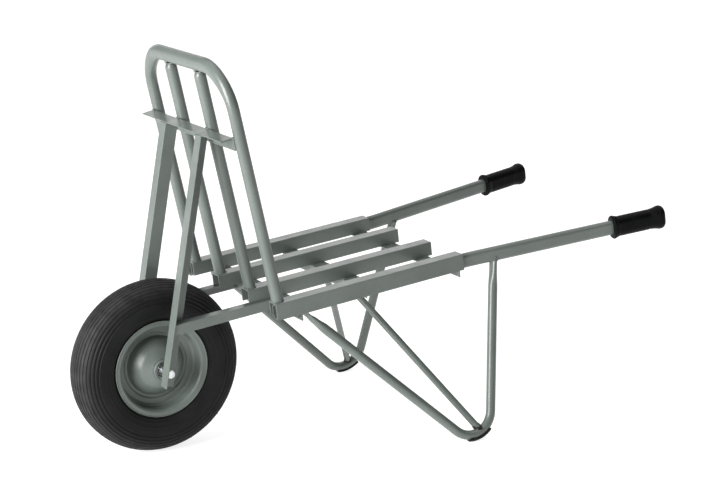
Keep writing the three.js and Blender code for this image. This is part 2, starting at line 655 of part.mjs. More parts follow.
function buildBearings() {
  const half = BEARING_WIDTH / 2;
  const outerRing = [
    [20, -half], [20, half], [16.5, half], [16.5, 3.3], [17.75, 1.2], [17.75, -1.2], [16.5, -3.3],
    [16.5, -half],
  ];
  const innerRing = [
    [8.7, -half], [12.2, -half], [12.2, -3.3], [10.8, -1.2], [10.8, 1.2], [12.2, 3.3], [12.2, half],
    [8.7, half],
  ];
  const ball = closed(new THREE.IcosahedronGeometry(BALL_RADIUS, 0));
  let ballSet = solid(ring(13.6, 14.9, -1.2, 1.2));
  for (let i = 0; i < BALL_COUNT; i += 1) {
    const angle = (2 * Math.PI * i) / BALL_COUNT;
    const placed = ball.clone().translate(BALL_PITCH * Math.cos(angle), 0, BALL_PITCH * Math.sin(angle));
    ballSet = ballSet.add(solid(placed));
  }
  for (const [side, sign] of [['left', -1], ['right', 1]]) {
    const y = sign * BEARING_CENTRE;
    place(wheel, `bearing_outer_ring_${side}`, turned(outerRing, 16), 'steel').position.y = y;
    place(wheel, `bearing_inner_ring_${side}`, turned(innerRing, 16), 'steel').position.y = y;
    place(wheel, `bearing_balls_${side}`, geometryOf(ballSet), 'steel').position.y = y;
    const shield = place(wheel, `bearing_shield_${side}`, ring(12.6, 16.1, -0.5, 0.5), 'rubber');
    shield.position.y = sign * (BEARING_CENTRE + half - 0.9);
  }
}

// ---------------------------------------------------------------------------------------------
// Axle: sleeve, bearing spacer, bolt, washers and nut
// ---------------------------------------------------------------------------------------------

function hexSection(flats) {
  const radius = flats / Math.sqrt(3);
  return polygon(Array.from({ length: 6 }, (_, i) => {
    const angle = (Math.PI * i) / 3;
    return [radius * Math.cos(angle), radius * Math.sin(angle)];
  }));
}

function buildAxle() {
  const strutOutside = STRUT_INNER_Y + ANGLE_THICKNESS;
  const washerThickness = 2.5;
  const headHeight = 7;
  const nutHeight = 8;
  const washerFace = strutOutside + GAP;
  const headFace = washerFace + washerThickness + GAP;
  const sleeveHalf = STRUT_INNER_Y - GAP;
  const spacerHalf = BEARING_CENTRE - BEARING_WIDTH / 2 - GAP;
  place(wheel, 'axle_sleeve', ring(SLEEVE_INNER, SLEEVE_OUTER, -sleeveHalf, sleeveHalf), 'zinc');
  place(wheel, 'bearing_spacer', ring(8.7, 11.5, -spacerHalf, spacerHalf), 'steel');
  for (const [side, sign] of [['left', -1], ['right', 1]]) {
    const ends = [sign * washerFace, sign * (washerFace + washerThickness)].sort((a, b) => a - b);
    place(wheel, `axle_washer_${side}`, ring(BOLT_RADIUS + GAP, 10, ...ends), 'zinc');
  }
  const headEnds = [point(0, -headFace - headHeight, 0), point(0, -headFace, 0)];
  const head = bar(hexSection(BOLT_FLATS), ...headEnds, Z_AXIS);
  const shankEnds = [point(0, -headFace - 1, 0), point(0, headFace + nutHeight + 3, 0)];
  const shank = bar(disc(BOLT_RADIUS), ...shankEnds, Z_AXIS, 9);
  place(wheel, 'axle_bolt', geometryOf(solid(head).add(solid(shank))), 'zinc');
  const nutShape = hexSection(BOLT_FLATS);
  nutShape.holes.push(new THREE.Path().absarc(0, 0, BOLT_RADIUS + GAP, 0, 2 * Math.PI));
  const nut = bar(nutShape, point(0, headFace, 0), point(0, headFace + nutHeight, 0), Z_AXIS, 9);
  place(wheel, 'axle_nut', nut, 'zinc');
}

// ---------------------------------------------------------------------------------------------
// Build, and set the origin on the ground under the middle of the whole barrow
// ---------------------------------------------------------------------------------------------

buildBed();
placePair(bed, 'handle', handleTube(0, HANDLE_WALL), 'paint');
placePair(bed, 'grip', gripGeometry(), 'rubber');
buildHeadboard();
buildFork();
buildLegs();
buildWheel();
buildAxle();

barrow.updateMatrixWorld(true);
const extent = new THREE.Box3().setFromObject(barrow, true);
barrow.position.set(-(extent.min.x + extent.max.x) / 2, -(extent.min.y + extent.max.y) / 2, -extent.min.z);

export default barrow;
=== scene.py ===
import json
import math
import random

import bpy
from mathutils import Matrix, Vector
from mathutils.bvhtree import BVHTree


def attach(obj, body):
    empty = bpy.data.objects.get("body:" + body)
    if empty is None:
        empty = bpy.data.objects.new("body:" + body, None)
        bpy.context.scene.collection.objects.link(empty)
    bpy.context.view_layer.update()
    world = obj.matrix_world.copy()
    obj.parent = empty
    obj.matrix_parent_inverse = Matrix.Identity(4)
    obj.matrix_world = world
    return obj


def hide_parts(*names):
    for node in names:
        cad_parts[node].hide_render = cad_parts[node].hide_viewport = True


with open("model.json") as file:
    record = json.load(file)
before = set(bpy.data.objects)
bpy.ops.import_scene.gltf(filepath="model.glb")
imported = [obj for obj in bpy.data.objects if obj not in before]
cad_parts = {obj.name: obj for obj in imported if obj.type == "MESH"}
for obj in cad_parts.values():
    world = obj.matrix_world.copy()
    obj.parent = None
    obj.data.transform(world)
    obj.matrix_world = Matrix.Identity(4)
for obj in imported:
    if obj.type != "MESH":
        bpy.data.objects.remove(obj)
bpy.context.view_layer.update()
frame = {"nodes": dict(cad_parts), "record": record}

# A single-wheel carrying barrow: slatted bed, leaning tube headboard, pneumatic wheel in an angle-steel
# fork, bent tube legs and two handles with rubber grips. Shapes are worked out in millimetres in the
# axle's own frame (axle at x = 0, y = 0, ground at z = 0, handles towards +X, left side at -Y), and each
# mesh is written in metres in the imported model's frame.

JOINT = frame["record"]["behaviour"]["joints"][0]
AXLE = Vector(JOINT["pos_m"])
MM = 0.001
TO_ROW = Matrix.Translation((AXLE.x, AXLE.y, 0)) @ Matrix.Scale(MM, 4)

# ---- Driving dimensions, the same as the CAD model's ----

GAP = 0.3
WHEEL_RADIUS = AXLE.z / MM
HUB_OUTER, HUB_INNER, HUB_HALF = 24, 20.3, 55.8
BEARING_WIDTH = 12
BEARING_CENTRE = HUB_HALF - 0.8 - BEARING_WIDTH / 2
BOLT_RADIUS, BOLT_FLATS = 5, 17
BEAD_SEAT = 100.5
VALVE_ANGLE, VALVE_TILT = math.radians(60), math.radians(25)

BED_SLOPE = math.atan2(56.2, 485)
BED_FRONT = Vector((192, 0, 371))
BED_LENGTH = 488
SLAT_WIDTH, SLAT_DEPTH, RAIL_DEPTH, SLAT_WALL = 36, 32.5, 38, 2.5
SLAT_INNER_Y, SLAT_OUTER_Y = 78, 221
BED_HALF_WIDTH = SLAT_OUTER_Y + SLAT_WIDTH / 2
CROSS_SHELF, CROSS_DROP, ANGLE_THICKNESS = 38, 20.5, 3
FRONT_CROSS_X, MIDDLE_CROSS_X, REAR_CROSS_X = 59, 242, 476
MIDDLE_CROSS_HALF = 206

HANDLE_WIDTH, HANDLE_HEIGHT, HANDLE_WALL = 20, 35, 2
HANDLE_BEND_X, HANDLE_BEND_RADIUS = 506, 120
HANDLE_END = Vector((1014, -305, -16))
GRIP_LENGTH, GRIP_END_WALL = 138, 4
GRIP_BODY_PAD, GRIP_BEAD_PAD = 7, 11

HEAD_LEAN = math.radians(12.84)
HEAD_BASE_X, HEAD_HEIGHT, HEAD_HALF_WIDTH = 14, 541.3, 217.5
HEAD_TUBE, HEAD_TUBE_WALL, HEAD_CORNER_RADIUS, HEAD_TOP_DEPTH = 13.5, 2, 100, 36
HEAD_ANGLE_LEG, HEAD_ANGLE_TOP, HEAD_ANGLE_HALF = 30, 389, 213

STRUT_LEG, STRUT_INNER_Y, STRUT_AXLE_OFFSET, STRUT_TAIL = 30, 80, 16, 27
STAY_LEG = 23

LEG_TUBE, LEG_TUBE_WALL, LEG_BEND_RADIUS = 11, 1.5, 57
LEG_ARM_TOP = Vector((276, -224, 333))
LEG_CORNER = Vector((697, -332.5, -42.3))
LEG_POST_TOP = Vector((762.5, -235.5, 398.7))
SHOE_THICKNESS, SHOE_HALF_ANGLE, SHOE_SPAN = 4, math.radians(52), (0.28, 0.7)
BRACE_TUBE, BRACE_TUBE_WALL = 8, 1.5
BRACE_TOP = Vector((457.4, -31, 366))
BRACE_FOOT = Vector((675.5, -315.6, 26.5))

X_AXIS, Y_AXIS, Z_AXIS = Vector((1, 0, 0)), Vector((0, 1, 0)), Vector((0, 0, 1))
BED = Matrix.Translation(BED_FRONT) @ Matrix.Rotation(-BED_SLOPE, 4, "Y")
HEAD = Matrix.Translation(BED @ Vector((HEAD_BASE_X, 0, 0))) @ Matrix.Rotation(-HEAD_LEAN, 4, "Y")
WHEEL = Matrix.Translation((0, 0, WHEEL_RADIUS))
BED_NORMAL = (BED.to_3x3() @ Z_AXIS).normalized()
BED_ALONG = (BED.to_3x3() @ X_AXIS).normalized()
ROUND = 2 * math.pi
SCENE = bpy.context.scene

# ---- Outlines: lists of (x, y) pairs, anticlockwise ----


def rounded(corners, steps=4, is_open=False):
    """Turns corners given as (x, y, radius) into an outline with a round arc at each of them."""
    outline = []
    last = len(corners) - 1
    for i, (x, y, radius) in enumerate(corners):
        here = Vector((x, y))
        if radius == 0 or (is_open and i in (0, last)):
            outline.append(here)
            continue
        back = Vector(corners[i - 1][:2]) - here
        ahead = Vector(corners[(i + 1) % len(corners)][:2]) - here
        half = back.angle(ahead) / 2
        reach = min(radius / math.tan(half), 0.49 * back.length, 0.49 * ahead.length)
        towards = (back.normalized() + ahead.normalized()).normalized()
        centre = here + towards * reach / math.cos(half)
        first = here + back.normalized() * reach - centre
        turn = first.angle_signed(here + ahead.normalized() * reach - centre)
        for step in range(steps + 1):
            outline.append(centre + Matrix.Rotation(-turn * step / steps, 2) @ first)
    return [tuple(p) for p in outline]


def ellipse(half_width, half_height, count=32):
    return [
        (half_width * math.cos(ROUND * i / count), half_height * math.sin(ROUND * i / count))
        for i in range(count)
    ]


def stadium(width, height, steps=14):
    radius, straight = width / 2, (height - width) / 2
    half = [
        (radius * math.cos(math.pi * i / steps), straight + radius * math.sin(math.pi * i / steps))
        for i in range(steps + 1)
    ]
    return half + [(-x, -y) for x, y in half]


def hanging_angle_outline(leg, thickness, drop=None):
    """Rolled angle steel: one leg along +x under the line y = 0, the other hanging at x = 0.

    It has a crisp heel, square backs, round toes and a root fillet.
    """
    heel, back, toe, root = 0.7, 0.4, thickness * 0.55, thickness
    drop = drop or leg
    return rounded([
        (0, 0, heel), (0, -drop, back), (thickness, -drop, toe), (thickness, -thickness, root),
        (leg, -thickness, toe), (leg, 0, back),
    ])


def angle_outline(leg, thickness):
    """The same steel turned over: one leg along +x over the line y = 0, the other standing at x = 0."""
    return [(x, -y) for x, y in reversed(hanging_angle_outline(leg, thickness))]


def slat_outline(left_depth, right_depth):
    """A channel, open below, whose two flanges may differ in depth."""
    half, inner = SLAT_WIDTH / 2, SLAT_WIDTH / 2 - SLAT_WALL
    edge, inside, bend = 0.4, 1, 2.4
    return rounded([
        (-half, -left_depth, edge), (-inner, -left_depth, edge), (-inner, -SLAT_WALL, inside),
        (inner, -SLAT_WALL, inside), (inner, -right_depth, edge), (half, -right_depth, edge),
        (half, 0, bend), (-half, 0, bend),
    ], steps=5)


# ---- Skins: a list of points in the axle's frame and a list of faces ----


def band(near, far):
    """The quads between two loops of point numbers."""
    n = len(near)
    return [(near[i], near[(i + 1) % n], far[(i + 1) % n], far[i]) for i in range(n)]


def flipped(faces):
    return [face[::-1] for face in faces]


def moved(skin, matrix):
    points, faces = skin
    return [matrix @ p for p in points], faces


def mirrored(skin):
    points, faces = skin
    return [Vector((p.x, -p.y, p.z)) for p in points], flipped(faces)


def joined(skins):
    points, faces = [], []
    for more_points, more_faces in skins:
        start = len(points)
        points += more_points
        faces += [tuple(start + i for i in face) for face in more_faces]
    return points, faces


def station(point, side=1.0, rise=1.0, plane=None):
    """A ring's place on a sweep. It may scale the outline, or slide the ring into a plane (normal, point)."""
    return {"point": Vector(point), "side": side, "rise": rise, "plane": plane}


def neighbours(items, index):
    """The items before and after one of them. At either end the end item stands in."""
    return items[max(index - 1, 0)], items[min(index + 1, len(items) - 1)]


def travel_at(stations, index):
    here = stations[index]["point"]
    before, after = (at["point"] for at in neighbours(stations, index))
    return ((here - before).normalized() + (after - here).normalized()).normalized()


def sweep(outlines, stations, up):
    """Sweeps an outline, and the hole in it if there is one, along the stations.

    outlines is a list of one or two outlines, or a function from a station to such a list.
    """
    points, rings = [], []
    for index, at in enumerate(stations):
        travel = travel_at(stations, index)
        rise = (up - travel * up.dot(travel)).normalized()
        side = rise.cross(travel)
        loops = outlines(at) if callable(outlines) else outlines
        ring = []
        for loop in loops:
            start = len(points)
            for x, y in loop:
                p = at["point"] + side * x + rise * y
                if at["plane"]:
                    normal, through = at["plane"]
                    p += travel * normal.dot(through - p) / normal.dot(travel)
                points.append(p)
            ring.append(range(start, len(points)))
        rings.append(ring)
    faces = []
    for ring, following in zip(rings, rings[1:]):
        for k, (near, far) in enumerate(zip(ring, following)):
            faces += flipped(band(near, far)) if k else band(near, far)
    for ring, forward in ((rings[0], False), (rings[-1], True)):
        cap = band(*ring) if len(ring) == 2 else [tuple(ring[0])]
        faces += cap if forward else flipped(cap)
    return points, faces


SLIT = 0.7  # half the least width left of a squashed pipe's bore


def scaled_pipe(radius, wall, count=32):
    """Outlines of a pipe whose wall keeps its thickness where the pipe is squashed."""
    def outlines(at):
        wide, tall = radius * at["side"], radius * at["rise"]
        bore = (max(wide - wall, SLIT), max(tall - wall, SLIT))
        return [ellipse(wide, tall, count), ellipse(*bore, count)]
    return outlines


def bent(corners, radius, steps):
    """Stations along straight lines through the corners, with a round bend at each corner between."""
    stations = [station(corners[0])]
    for i in range(1, len(corners) - 1):
        here = corners[i]
        back = (corners[i - 1] - here).normalized()
        ahead = (corners[i + 1] - here).normalized()
        half = back.angle(ahead) / 2
        centre = here + (back + ahead).normalized() * radius / math.sin(half)
        start = here + back * radius / math.tan(half) - centre
        finish = here + ahead * radius / math.tan(half) - centre
        axis = start.cross(finish).normalized()
        turn = math.pi - 2 * half
        for step in range(steps + 1):
            spoke = Matrix.Rotation(turn * step / steps, 3, axis) @ start
            stations.append(station(centre + spoke))
    stations.append(station(corners[-1]))
    return stations


def turned(outline, segments, shape=None):
    """Turns a closed outline of (radius, y) pairs about the wheel's axis.

    shape may move a point by returning a new radius and y from its angle, radius and y.
    """
    area = sum(a[0] * b[1] - b[0] * a[1] for a, b in zip(outline, outline[1:] + outline[:1]))
    if area > 0:
        outline = outline[::-1]
    points, rings = [], []
    for radius, y in outline:
        if radius == 0:
            points.append(Vector((0, y, 0)))
            rings.append([len(points) - 1] * segments)
            continue
        start = len(points)
        for i in range(segments):
            angle = ROUND * i / segments
            r, yy = shape(angle, radius, y) if shape else (radius, y)
            points.append(Vector((r * math.cos(angle), yy, r * math.sin(angle))))
        rings.append(list(range(start, len(points))))
    faces = []
    for near, far in zip(rings, rings[1:] + rings[:1]):
        unique = [tuple(dict.fromkeys(face)) for face in band(near, far)]
        faces += [face for face in unique if len(face) > 2]
    return points, faces


def sheet_outline(line, thickness):
    """The outline of a thin sheet that follows a line of (radius, y) points."""
    sides = ([], [])
    for i, (radius, y) in enumerate(line):
        before, after = neighbours(line, i)
        along = (Vector(after) - Vector(before)).normalized() * thickness / 2
        sides[0].append((radius - along.y, y + along.x))
        sides[1].append((radius + along.y, y - along.x))
    return sides[0] + sides[1][::-1]


def reflected(half):
    """Rows of (radius, y) or (radius, y, fillet), and their mirror image after them."""
    return half + [(radius, -y, *fillet) for radius, y, *fillet in reversed(half)]


# ---- Objects ----


def mesh_of(name, skin):
    points, faces = skin
    mesh = bpy.data.meshes.new(name)
    mesh.from_pydata([TO_ROW @ p for p in points], [], faces)
    mesh.update()
    return mesh


def placed(name, data):
    """A new object in the scene."""
    made = bpy.data.objects.new(name, data)
    SCENE.collection.objects.link(made)
    return made


def without(name, skin, *tools):
    """The skin with the tools cut out of it, as a mesh."""
    target = placed(name, mesh_of(name, skin))
    cutters = []
    for i, tool in enumerate(tools):
        cutter = placed(f"{name}_cutter_{i}", mesh_of(f"{name}_cutter_{i}", tool))
        cut = target.modifiers.new(f"cut_{i}", "BOOLEAN")
        cut.operation, cut.solver, cut.object = "DIFFERENCE", "EXACT", cutter
        cutters.append(cutter)
    graph = bpy.context.evaluated_depsgraph_get()
    mesh = bpy.data.meshes.new_from_object(target.evaluated_get(graph))
    for done in [target, *cutters]:
        old = done.data
        bpy.data.objects.remove(done)
        bpy.data.meshes.remove(old)
    return mesh


BEVEL_ANGLE, SHARP_ANGLE = math.radians(50), math.radians(38)


def piece(name, shape, material, body="frame", slot="frame_paint", replaces=True, bevel=0.0):
    """Makes a visible piece from a skin or a mesh. By default it stands for the CAD node of its name."""
    mesh = mesh_of(name, shape) if isinstance(shape, tuple) else shape
    mesh.name = name
    made = placed(f"{name}_shape" if replaces else name, mesh)
    mesh.materials.clear()
    mesh.materials.append(material)
    mesh.shade_smooth()
    if bevel:
        edge = made.modifiers.new("edge", "BEVEL")
        edge.width, edge.segments = bevel * MM, 2
        edge.limit_method, edge.angle_limit = "ANGLE", BEVEL_ANGLE
    else:
        mesh.set_sharp_from_angle(angle=SHARP_ANGLE)
    normals = made.modifiers.new("normals", "WEIGHTED_NORMAL")
    normals.keep_sharp = True
    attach(made, body)
    if replaces:
        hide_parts(name)


def pair(name, left, material, tools=(), **details):
    """A left piece and its mirror image, with any tools cut out of both."""
    sides = (("left", left, tools), ("right", mirrored(left), [mirrored(tool) for tool in tools]))
    for side, skin, cutters in sides:
        full_name = f"{name}_{side}"
        piece(full_name, without(full_name, skin, *cutters) if cutters else skin, material, **details)


# ---- Materials ----


class Finish:
    """A node material built round one Principled shader, with textures in the object's own space."""

    def __init__(self, name, colour, roughness, metallic=0.0, **constants):
        self.material = bpy.data.materials.new(name)
        self.material.use_nodes = True
        self.nodes = self.material.node_tree.nodes
        self.links = self.material.node_tree.links
        self.shader = self.nodes["Principled BSDF"]
        self.place = self.nodes.new("ShaderNodeTexCoord").outputs["Object"]
        self.set("Base Color", (*colour, 1))
        self.set("Roughness", roughness)
        self.set("Metallic", metallic)
        for socket, value in constants.items():
            self.set(socket.replace("_", " "), value)
        self.bump_normal = None

    def set(self, socket, value):
        self.shader.inputs[socket].default_value = value

    def node(self, kind, inputs, **settings):
        """A new node. Each input takes a socket to link or a value to hold."""
        node = self.nodes.new(f"ShaderNode{kind}")
        for setting, value in settings.items():
            setattr(node, setting, value)
        for socket, value in inputs.items():
            if isinstance(value, bpy.types.NodeSocket):
                self.links.new(value, node.inputs[socket])
            else:
                node.inputs[socket].default_value = value
        return node

    def noise(self, scale, detail, rough=0.55, stretch=None):
        place = self.place
        if stretch:
            place = self.node("Mapping", {"Vector": place, "Scale": stretch}).outputs["Vector"]
        inputs = {"Vector": place, "Scale": scale, "Detail": detail, "Roughness": rough}
        return self.node("TexNoise", inputs).outputs["Fac"]

    def ramp(self, value, *stops):
        """Maps a value through stops given as (position, grey or colour)."""
        node = self.node("ValToRGB", {"Fac": value})
        elements = node.color_ramp.elements
        while len(elements) < len(stops):
            elements.new(0.5)
        for element, (position, colour) in zip(elements, stops):
            element.position = position
            element.color = (*colour, 1) if isinstance(colour, tuple) else (colour, colour, colour, 1)
        return node.outputs["Color"]

    def radius(self):
        """Distance from the wheel's axis, in metres."""
        inputs = {"Vector": self.place, "Location": (-AXLE.x, 0, -AXLE.z), "Scale": (1, 0, 1)}
        across = self.node("Mapping", inputs).outputs["Vector"]
        return self.node("VectorMath", {0: across}, operation="LENGTH").outputs["Value"]

    def mix(self, factor, first, second, blend="MIX"):
        """Mixes two colours. The colour sockets are 6 and 7, because others share their names."""
        inputs = {0: factor, 6: first, 7: second}
        return self.node("Mix", inputs, data_type="RGBA", blend_type=blend).outputs[2]

    def colour(self, socket):
        self.links.new(socket, self.shader.inputs["Base Color"])

    def roughness(self, texture, low, high):
        """Roughness from low to high over the middle of a texture's range."""
        self.links.new(self.ramp(texture, (0.3, low), (0.7, high)), self.shader.inputs["Roughness"])

    def bump(self, height, strength, distance_mm):
        """Adds a bump on top of any the finish already has."""
        inputs = {"Height": height, "Strength": strength, "Distance": distance_mm * MM}
        if self.bump_normal:
            inputs["Normal"] = self.bump_normal
        self.bump_normal = self.node("Bump", inputs).outputs["Normal"]
        self.links.new(self.bump_normal, self.shader.inputs["Normal"])


ENAMEL_TONES = [  # place in the noise, colour
    (0.3, (0.103, 0.121, 0.110)), (0.52, (0.118, 0.138, 0.125)), (0.74, (0.134, 0.156, 0.142)),
]
TREAD_FROM, TREAD_TO = 0.165, 0.192  # metres from the axle, where the sidewall turns into the tread, which is painted lighter as painted light


def enamel(name="grey_green_enamel", orange_peel=0.25, tone=1.0, coat=0.24):
    """Stoved grey-green enamel: a faint cloudy tone, orange peel, and gloss that varies a little."""
    tones = [(stop, tuple(tone * c for c in colour)) for stop, colour in ENAMEL_TONES]
    finish = Finish(name, tones[1][1], 0.42, Coat_Weight=coat, Coat_Roughness=0.16)
    clouds = finish.ramp(finish.noise(9, 5), *tones)
    specks = finish.ramp(finish.noise(1500, 2), (0.36, 0.82), (0.5, 1), (0.66, 1.09))
    finish.colour(finish.mix(1.0, clouds, specks, "MULTIPLY"))
    finish.roughness(finish.noise(26, 6), 0.33, 0.46)
    finish.bump(finish.noise(420, 3), orange_peel, 0.12)
    finish.bump(finish.noise(60, 2), orange_peel * 0.4, 0.25)
    return finish.material


def tyre_rubber():
    """Moulded black rubber: satin, with a grey bloom, a fine mould grain, and a patchy lighter tread that is
    painted light where the tread catches the lamps.
    """
    black, bloom = (0.0062, 0.0062, 0.0068), (0.0120, 0.0120, 0.0130)
    finish = Finish("tyre_rubber", black, 0.52, Specular_IOR_Level=0.15)
    sidewall = finish.ramp(finish.noise(16, 6, 0.6), (0.34, black), (0.70, bloom))
    # The tread is painted lighter and patchy: painted light standing for the light the tread catches.
    painted_lit_tread = finish.ramp(finish.noise(45, 5, 0.6), (0.3, 0.016), (0.7, 0.034))
    tread = finish.ramp(finish.radius(), (TREAD_FROM, 0), (TREAD_TO, 1))
    patches = finish.mix(tread, sidewall, painted_lit_tread)
    dust = finish.ramp(finish.noise(900, 3), (0.45, 0.9), (0.72, 1.35))
    finish.colour(finish.mix(1.0, patches, dust, "MULTIPLY"))
    finish.roughness(finish.noise(30, 5), 0.46, 0.62)
    finish.bump(finish.noise(1600, 3), 0.35, 0.15)
    finish.bump(finish.noise(120, 3), 0.2, 0.3)
    return finish.material


def moulded_rubber(name, black, bloom, roughness, grain=1400, depth=0.3):
    """Dull moulded rubber with a patchy bloom and a grain."""
    finish = Finish(name, black, roughness, Specular_IOR_Level=0.08)
    finish.colour(finish.ramp(finish.noise(40, 5), (0.36, black), (0.7, bloom)))
    finish.roughness(finish.noise(70, 4), roughness - 0.08, roughness + 0.1)
    finish.bump(finish.noise(grain, 3), depth, 0.12)
    return finish.material


def plated_steel(name, light, shade, roughness, stretch=(1, 1, 1)):
    """Bright metal with a patchy tone and fine working marks."""
    finish = Finish(name, light, roughness, 1.0)
    finish.colour(finish.ramp(finish.noise(90, 5), (0.3, shade), (0.65, light)))
    marks = finish.noise(500, 4, 0.6, stretch)
    finish.roughness(marks, roughness - 0.07, roughness + 0.1)
    finish.bump(marks, 0.12, 0.04)
    return finish.material


def floor_finish():
    """A plain matt studio floor, almost white, with a trace of unevenness."""
    finish = Finish("studio_floor", (0.5, 0.5, 0.5), 0.9, Specular_IOR_Level=0.1, Emission_Strength=0.82)
    finish.set("Emission Color", (1, 1, 1, 1))
    finish.colour(finish.ramp(finish.noise(2, 3), (0.2, 0.42), (0.8, 0.45)))
    return finish.material


PAINT = enamel()
WELD_PAINT = enamel("painted_weld", orange_peel=0.6, tone=0.93)
RIM_PAINT = enamel("rim_enamel", orange_peel=0.2, tone=1.06, coat=0.05)
# Near-black enamel for the weld at the brace's foot: painted shade where the brace meets the leg's bend.
SHADE_BLACK_WELD = enamel("painted_shade_weld", orange_peel=0.5, tone=0.03, coat=0.0)
TYRE = tyre_rubber()
GRIP = moulded_rubber("grip_rubber", (0.0026, 0.0028, 0.0029), (0.0048, 0.0050, 0.0051), 0.40)
SHOE = moulded_rubber("shoe_rubber", (0.007, 0.0072, 0.0075), (0.020, 0.020, 0.019), 0.66, 800, 0.5)
TUBE = moulded_rubber("tube_rubber", (0.008, 0.008, 0.009), (0.016, 0.016, 0.017), 0.5)
VALVE = moulded_rubber("valve_rubber", (0.006, 0.006, 0.006), (0.012, 0.012, 0.012), 0.4)
SHIELD = moulded_rubber("shield_rubber", (0.055, 0.058, 0.056), (0.085, 0.088, 0.086), 0.5)
ZINC = plated_steel("zinc_plate", (0.80, 0.83, 0.82), (0.66, 0.69, 0.70), 0.32)
STEEL = plated_steel("bearing_steel", (0.60, 0.61, 0.62), (0.46, 0.47, 0.48), 0.26, (1, 0.2, 1))

# ---- Weld beads ----

DICE = random.Random(20)
BEAD_PITCH, BEAD_STEPS, BEAD_SIDES = 2.3, 5, 10  # length of a ripple, stations in it, points round it
RIPPLE, WANDER, WANDER_STEPS, BEAD_END = 0.13, 0.14, 12, 0.35


def resample(path, spacing):
    """Points a spacing apart along a line of points."""
    lengths = [0.0]
    for a, b in zip(path, path[1:]):
        lengths.append(lengths[-1] + (b - a).length)
    count = max(int(lengths[-1] / spacing), 2)
    points, k = [], 0
    for i in range(count + 1):
        along = lengths[-1] * i / count
        while k < len(path) - 2 and lengths[k + 1] < along:
            k += 1
        share = (along - lengths[k]) / max(lengths[k + 1] - lengths[k], 1e-9)
        points.append(path[k].lerp(path[k + 1], min(share, 1)))
    return points


def bead(path, radius=2.1, up=Z_AXIS, is_ring=False):
    """A hand-laid weld bead along a line of points: overlapping ripples with a wandering width."""
    path = [Vector(p) for p in path]
    if is_ring:
        path = path + path[:2]
    points = resample(path, BEAD_PITCH / BEAD_STEPS)
    phase = DICE.uniform(0, ROUND)
    drift = [DICE.uniform(-1, 1) for _ in range(len(points) // WANDER_STEPS + 3)]
    stations = []
    for i, p in enumerate(points):
        ripple = 1 + RIPPLE * math.sin(phase + ROUND * i / BEAD_STEPS) ** 3
        k, share = divmod(i / WANDER_STEPS, 1)
        wander = 1 + WANDER * (drift[int(k)] * (1 - share) + drift[int(k) + 1] * share)
        from_end = min(i, len(points) - 1 - i) / BEAD_STEPS
        ends = 1 if is_ring else min(1, BEAD_END + (1 - BEAD_END) * from_end)
        size = radius * ripple * wander * ends
        stations.append(station(p, size, size))
    return sweep(lambda at: [ellipse(at["side"], at["rise"], BEAD_SIDES)], stations, up)


def welds(name, skins, body="frame", material=WELD_PAINT):
    """One piece of weld beads. No CAD node stands for it."""
    piece(name, joined(skins), material, body=body, replaces=False)


def both_sides(skins):
    return skins + [mirrored(skin) for skin in skins]


# ---- Bed ----


def bar(outline, start, end, up, start_plane=None, end_plane=None):
    return sweep([outline], [station(start, plane=start_plane), station(end, plane=end_plane)], up)


def block(low, high):
    """A box between two corners."""
    (x0, y0, z0), (x1, y1, z1) = low, high
    return bar([(y0, z0), (y1, z0), (y1, z1), (y0, z1)], (x0, 0, 0), (x1, 0, 0), Z_AXIS)


SLATS = {  # middle, and the depths of the left and right flanges
    "slat_left_outer": (-SLAT_OUTER_Y, RAIL_DEPTH, SLAT_DEPTH),
    "slat_left_inner": (-SLAT_INNER_Y, SLAT_DEPTH, SLAT_DEPTH),
    "slat_right_inner": (SLAT_INNER_Y, SLAT_DEPTH, SLAT_DEPTH),
    "slat_right_outer": (SLAT_OUTER_Y, SLAT_DEPTH, RAIL_DEPTH),
}
CROSSES = {  # outside corner, the way its level leg points, and half its length
    "front_cross_angle": (FRONT_CROSS_X, 1, BED_HALF_WIDTH - GAP),
    "middle_cross_angle": (MIDDLE_CROSS_X, 1, MIDDLE_CROSS_HALF),
    "rear_cross_angle": (REAR_CROSS_X, -1, BED_HALF_WIDTH - GAP),
}
CROSS_TOP = -SLAT_DEPTH - GAP
NOTCH_INSIDE = BED_HALF_WIDTH - SLAT_WALL - HANDLE_WIDTH - 2 * GAP
NOTCH_BOTTOM = -RAIL_DEPTH - GAP


def build_bed():
    for name, (y, left_depth, right_depth) in SLATS.items():
        slat = bar(slat_outline(left_depth, right_depth), (0, y, 0), (BED_LENGTH, y, 0), Z_AXIS)
        piece(name, moved(slat, BED), PAINT, bevel=0.35)
    outline = hanging_angle_outline(CROSS_SHELF, ANGLE_THICKNESS, CROSS_DROP)
    beads = []
    for name, (x, pointing, half) in CROSSES.items():
        ends = [(x, pointing * half, CROSS_TOP), (x, -pointing * half, CROSS_TOP)]
        cross = moved(bar(outline, *ends, Z_AXIS), BED)
        if half > NOTCH_INSIDE:
            reach = BED_HALF_WIDTH + 20
            notch = moved(block((x - 60, NOTCH_INSIDE, NOTCH_BOTTOM), (x + 60, reach, 20)), BED)
            cross = without(name, cross, notch, mirrored(notch))
        piece(name, cross, PAINT, bevel=0.3)
        beads += cross_beads(x, pointing, half)
    welds("bed_welds", [moved(skin, BED) for skin in beads])


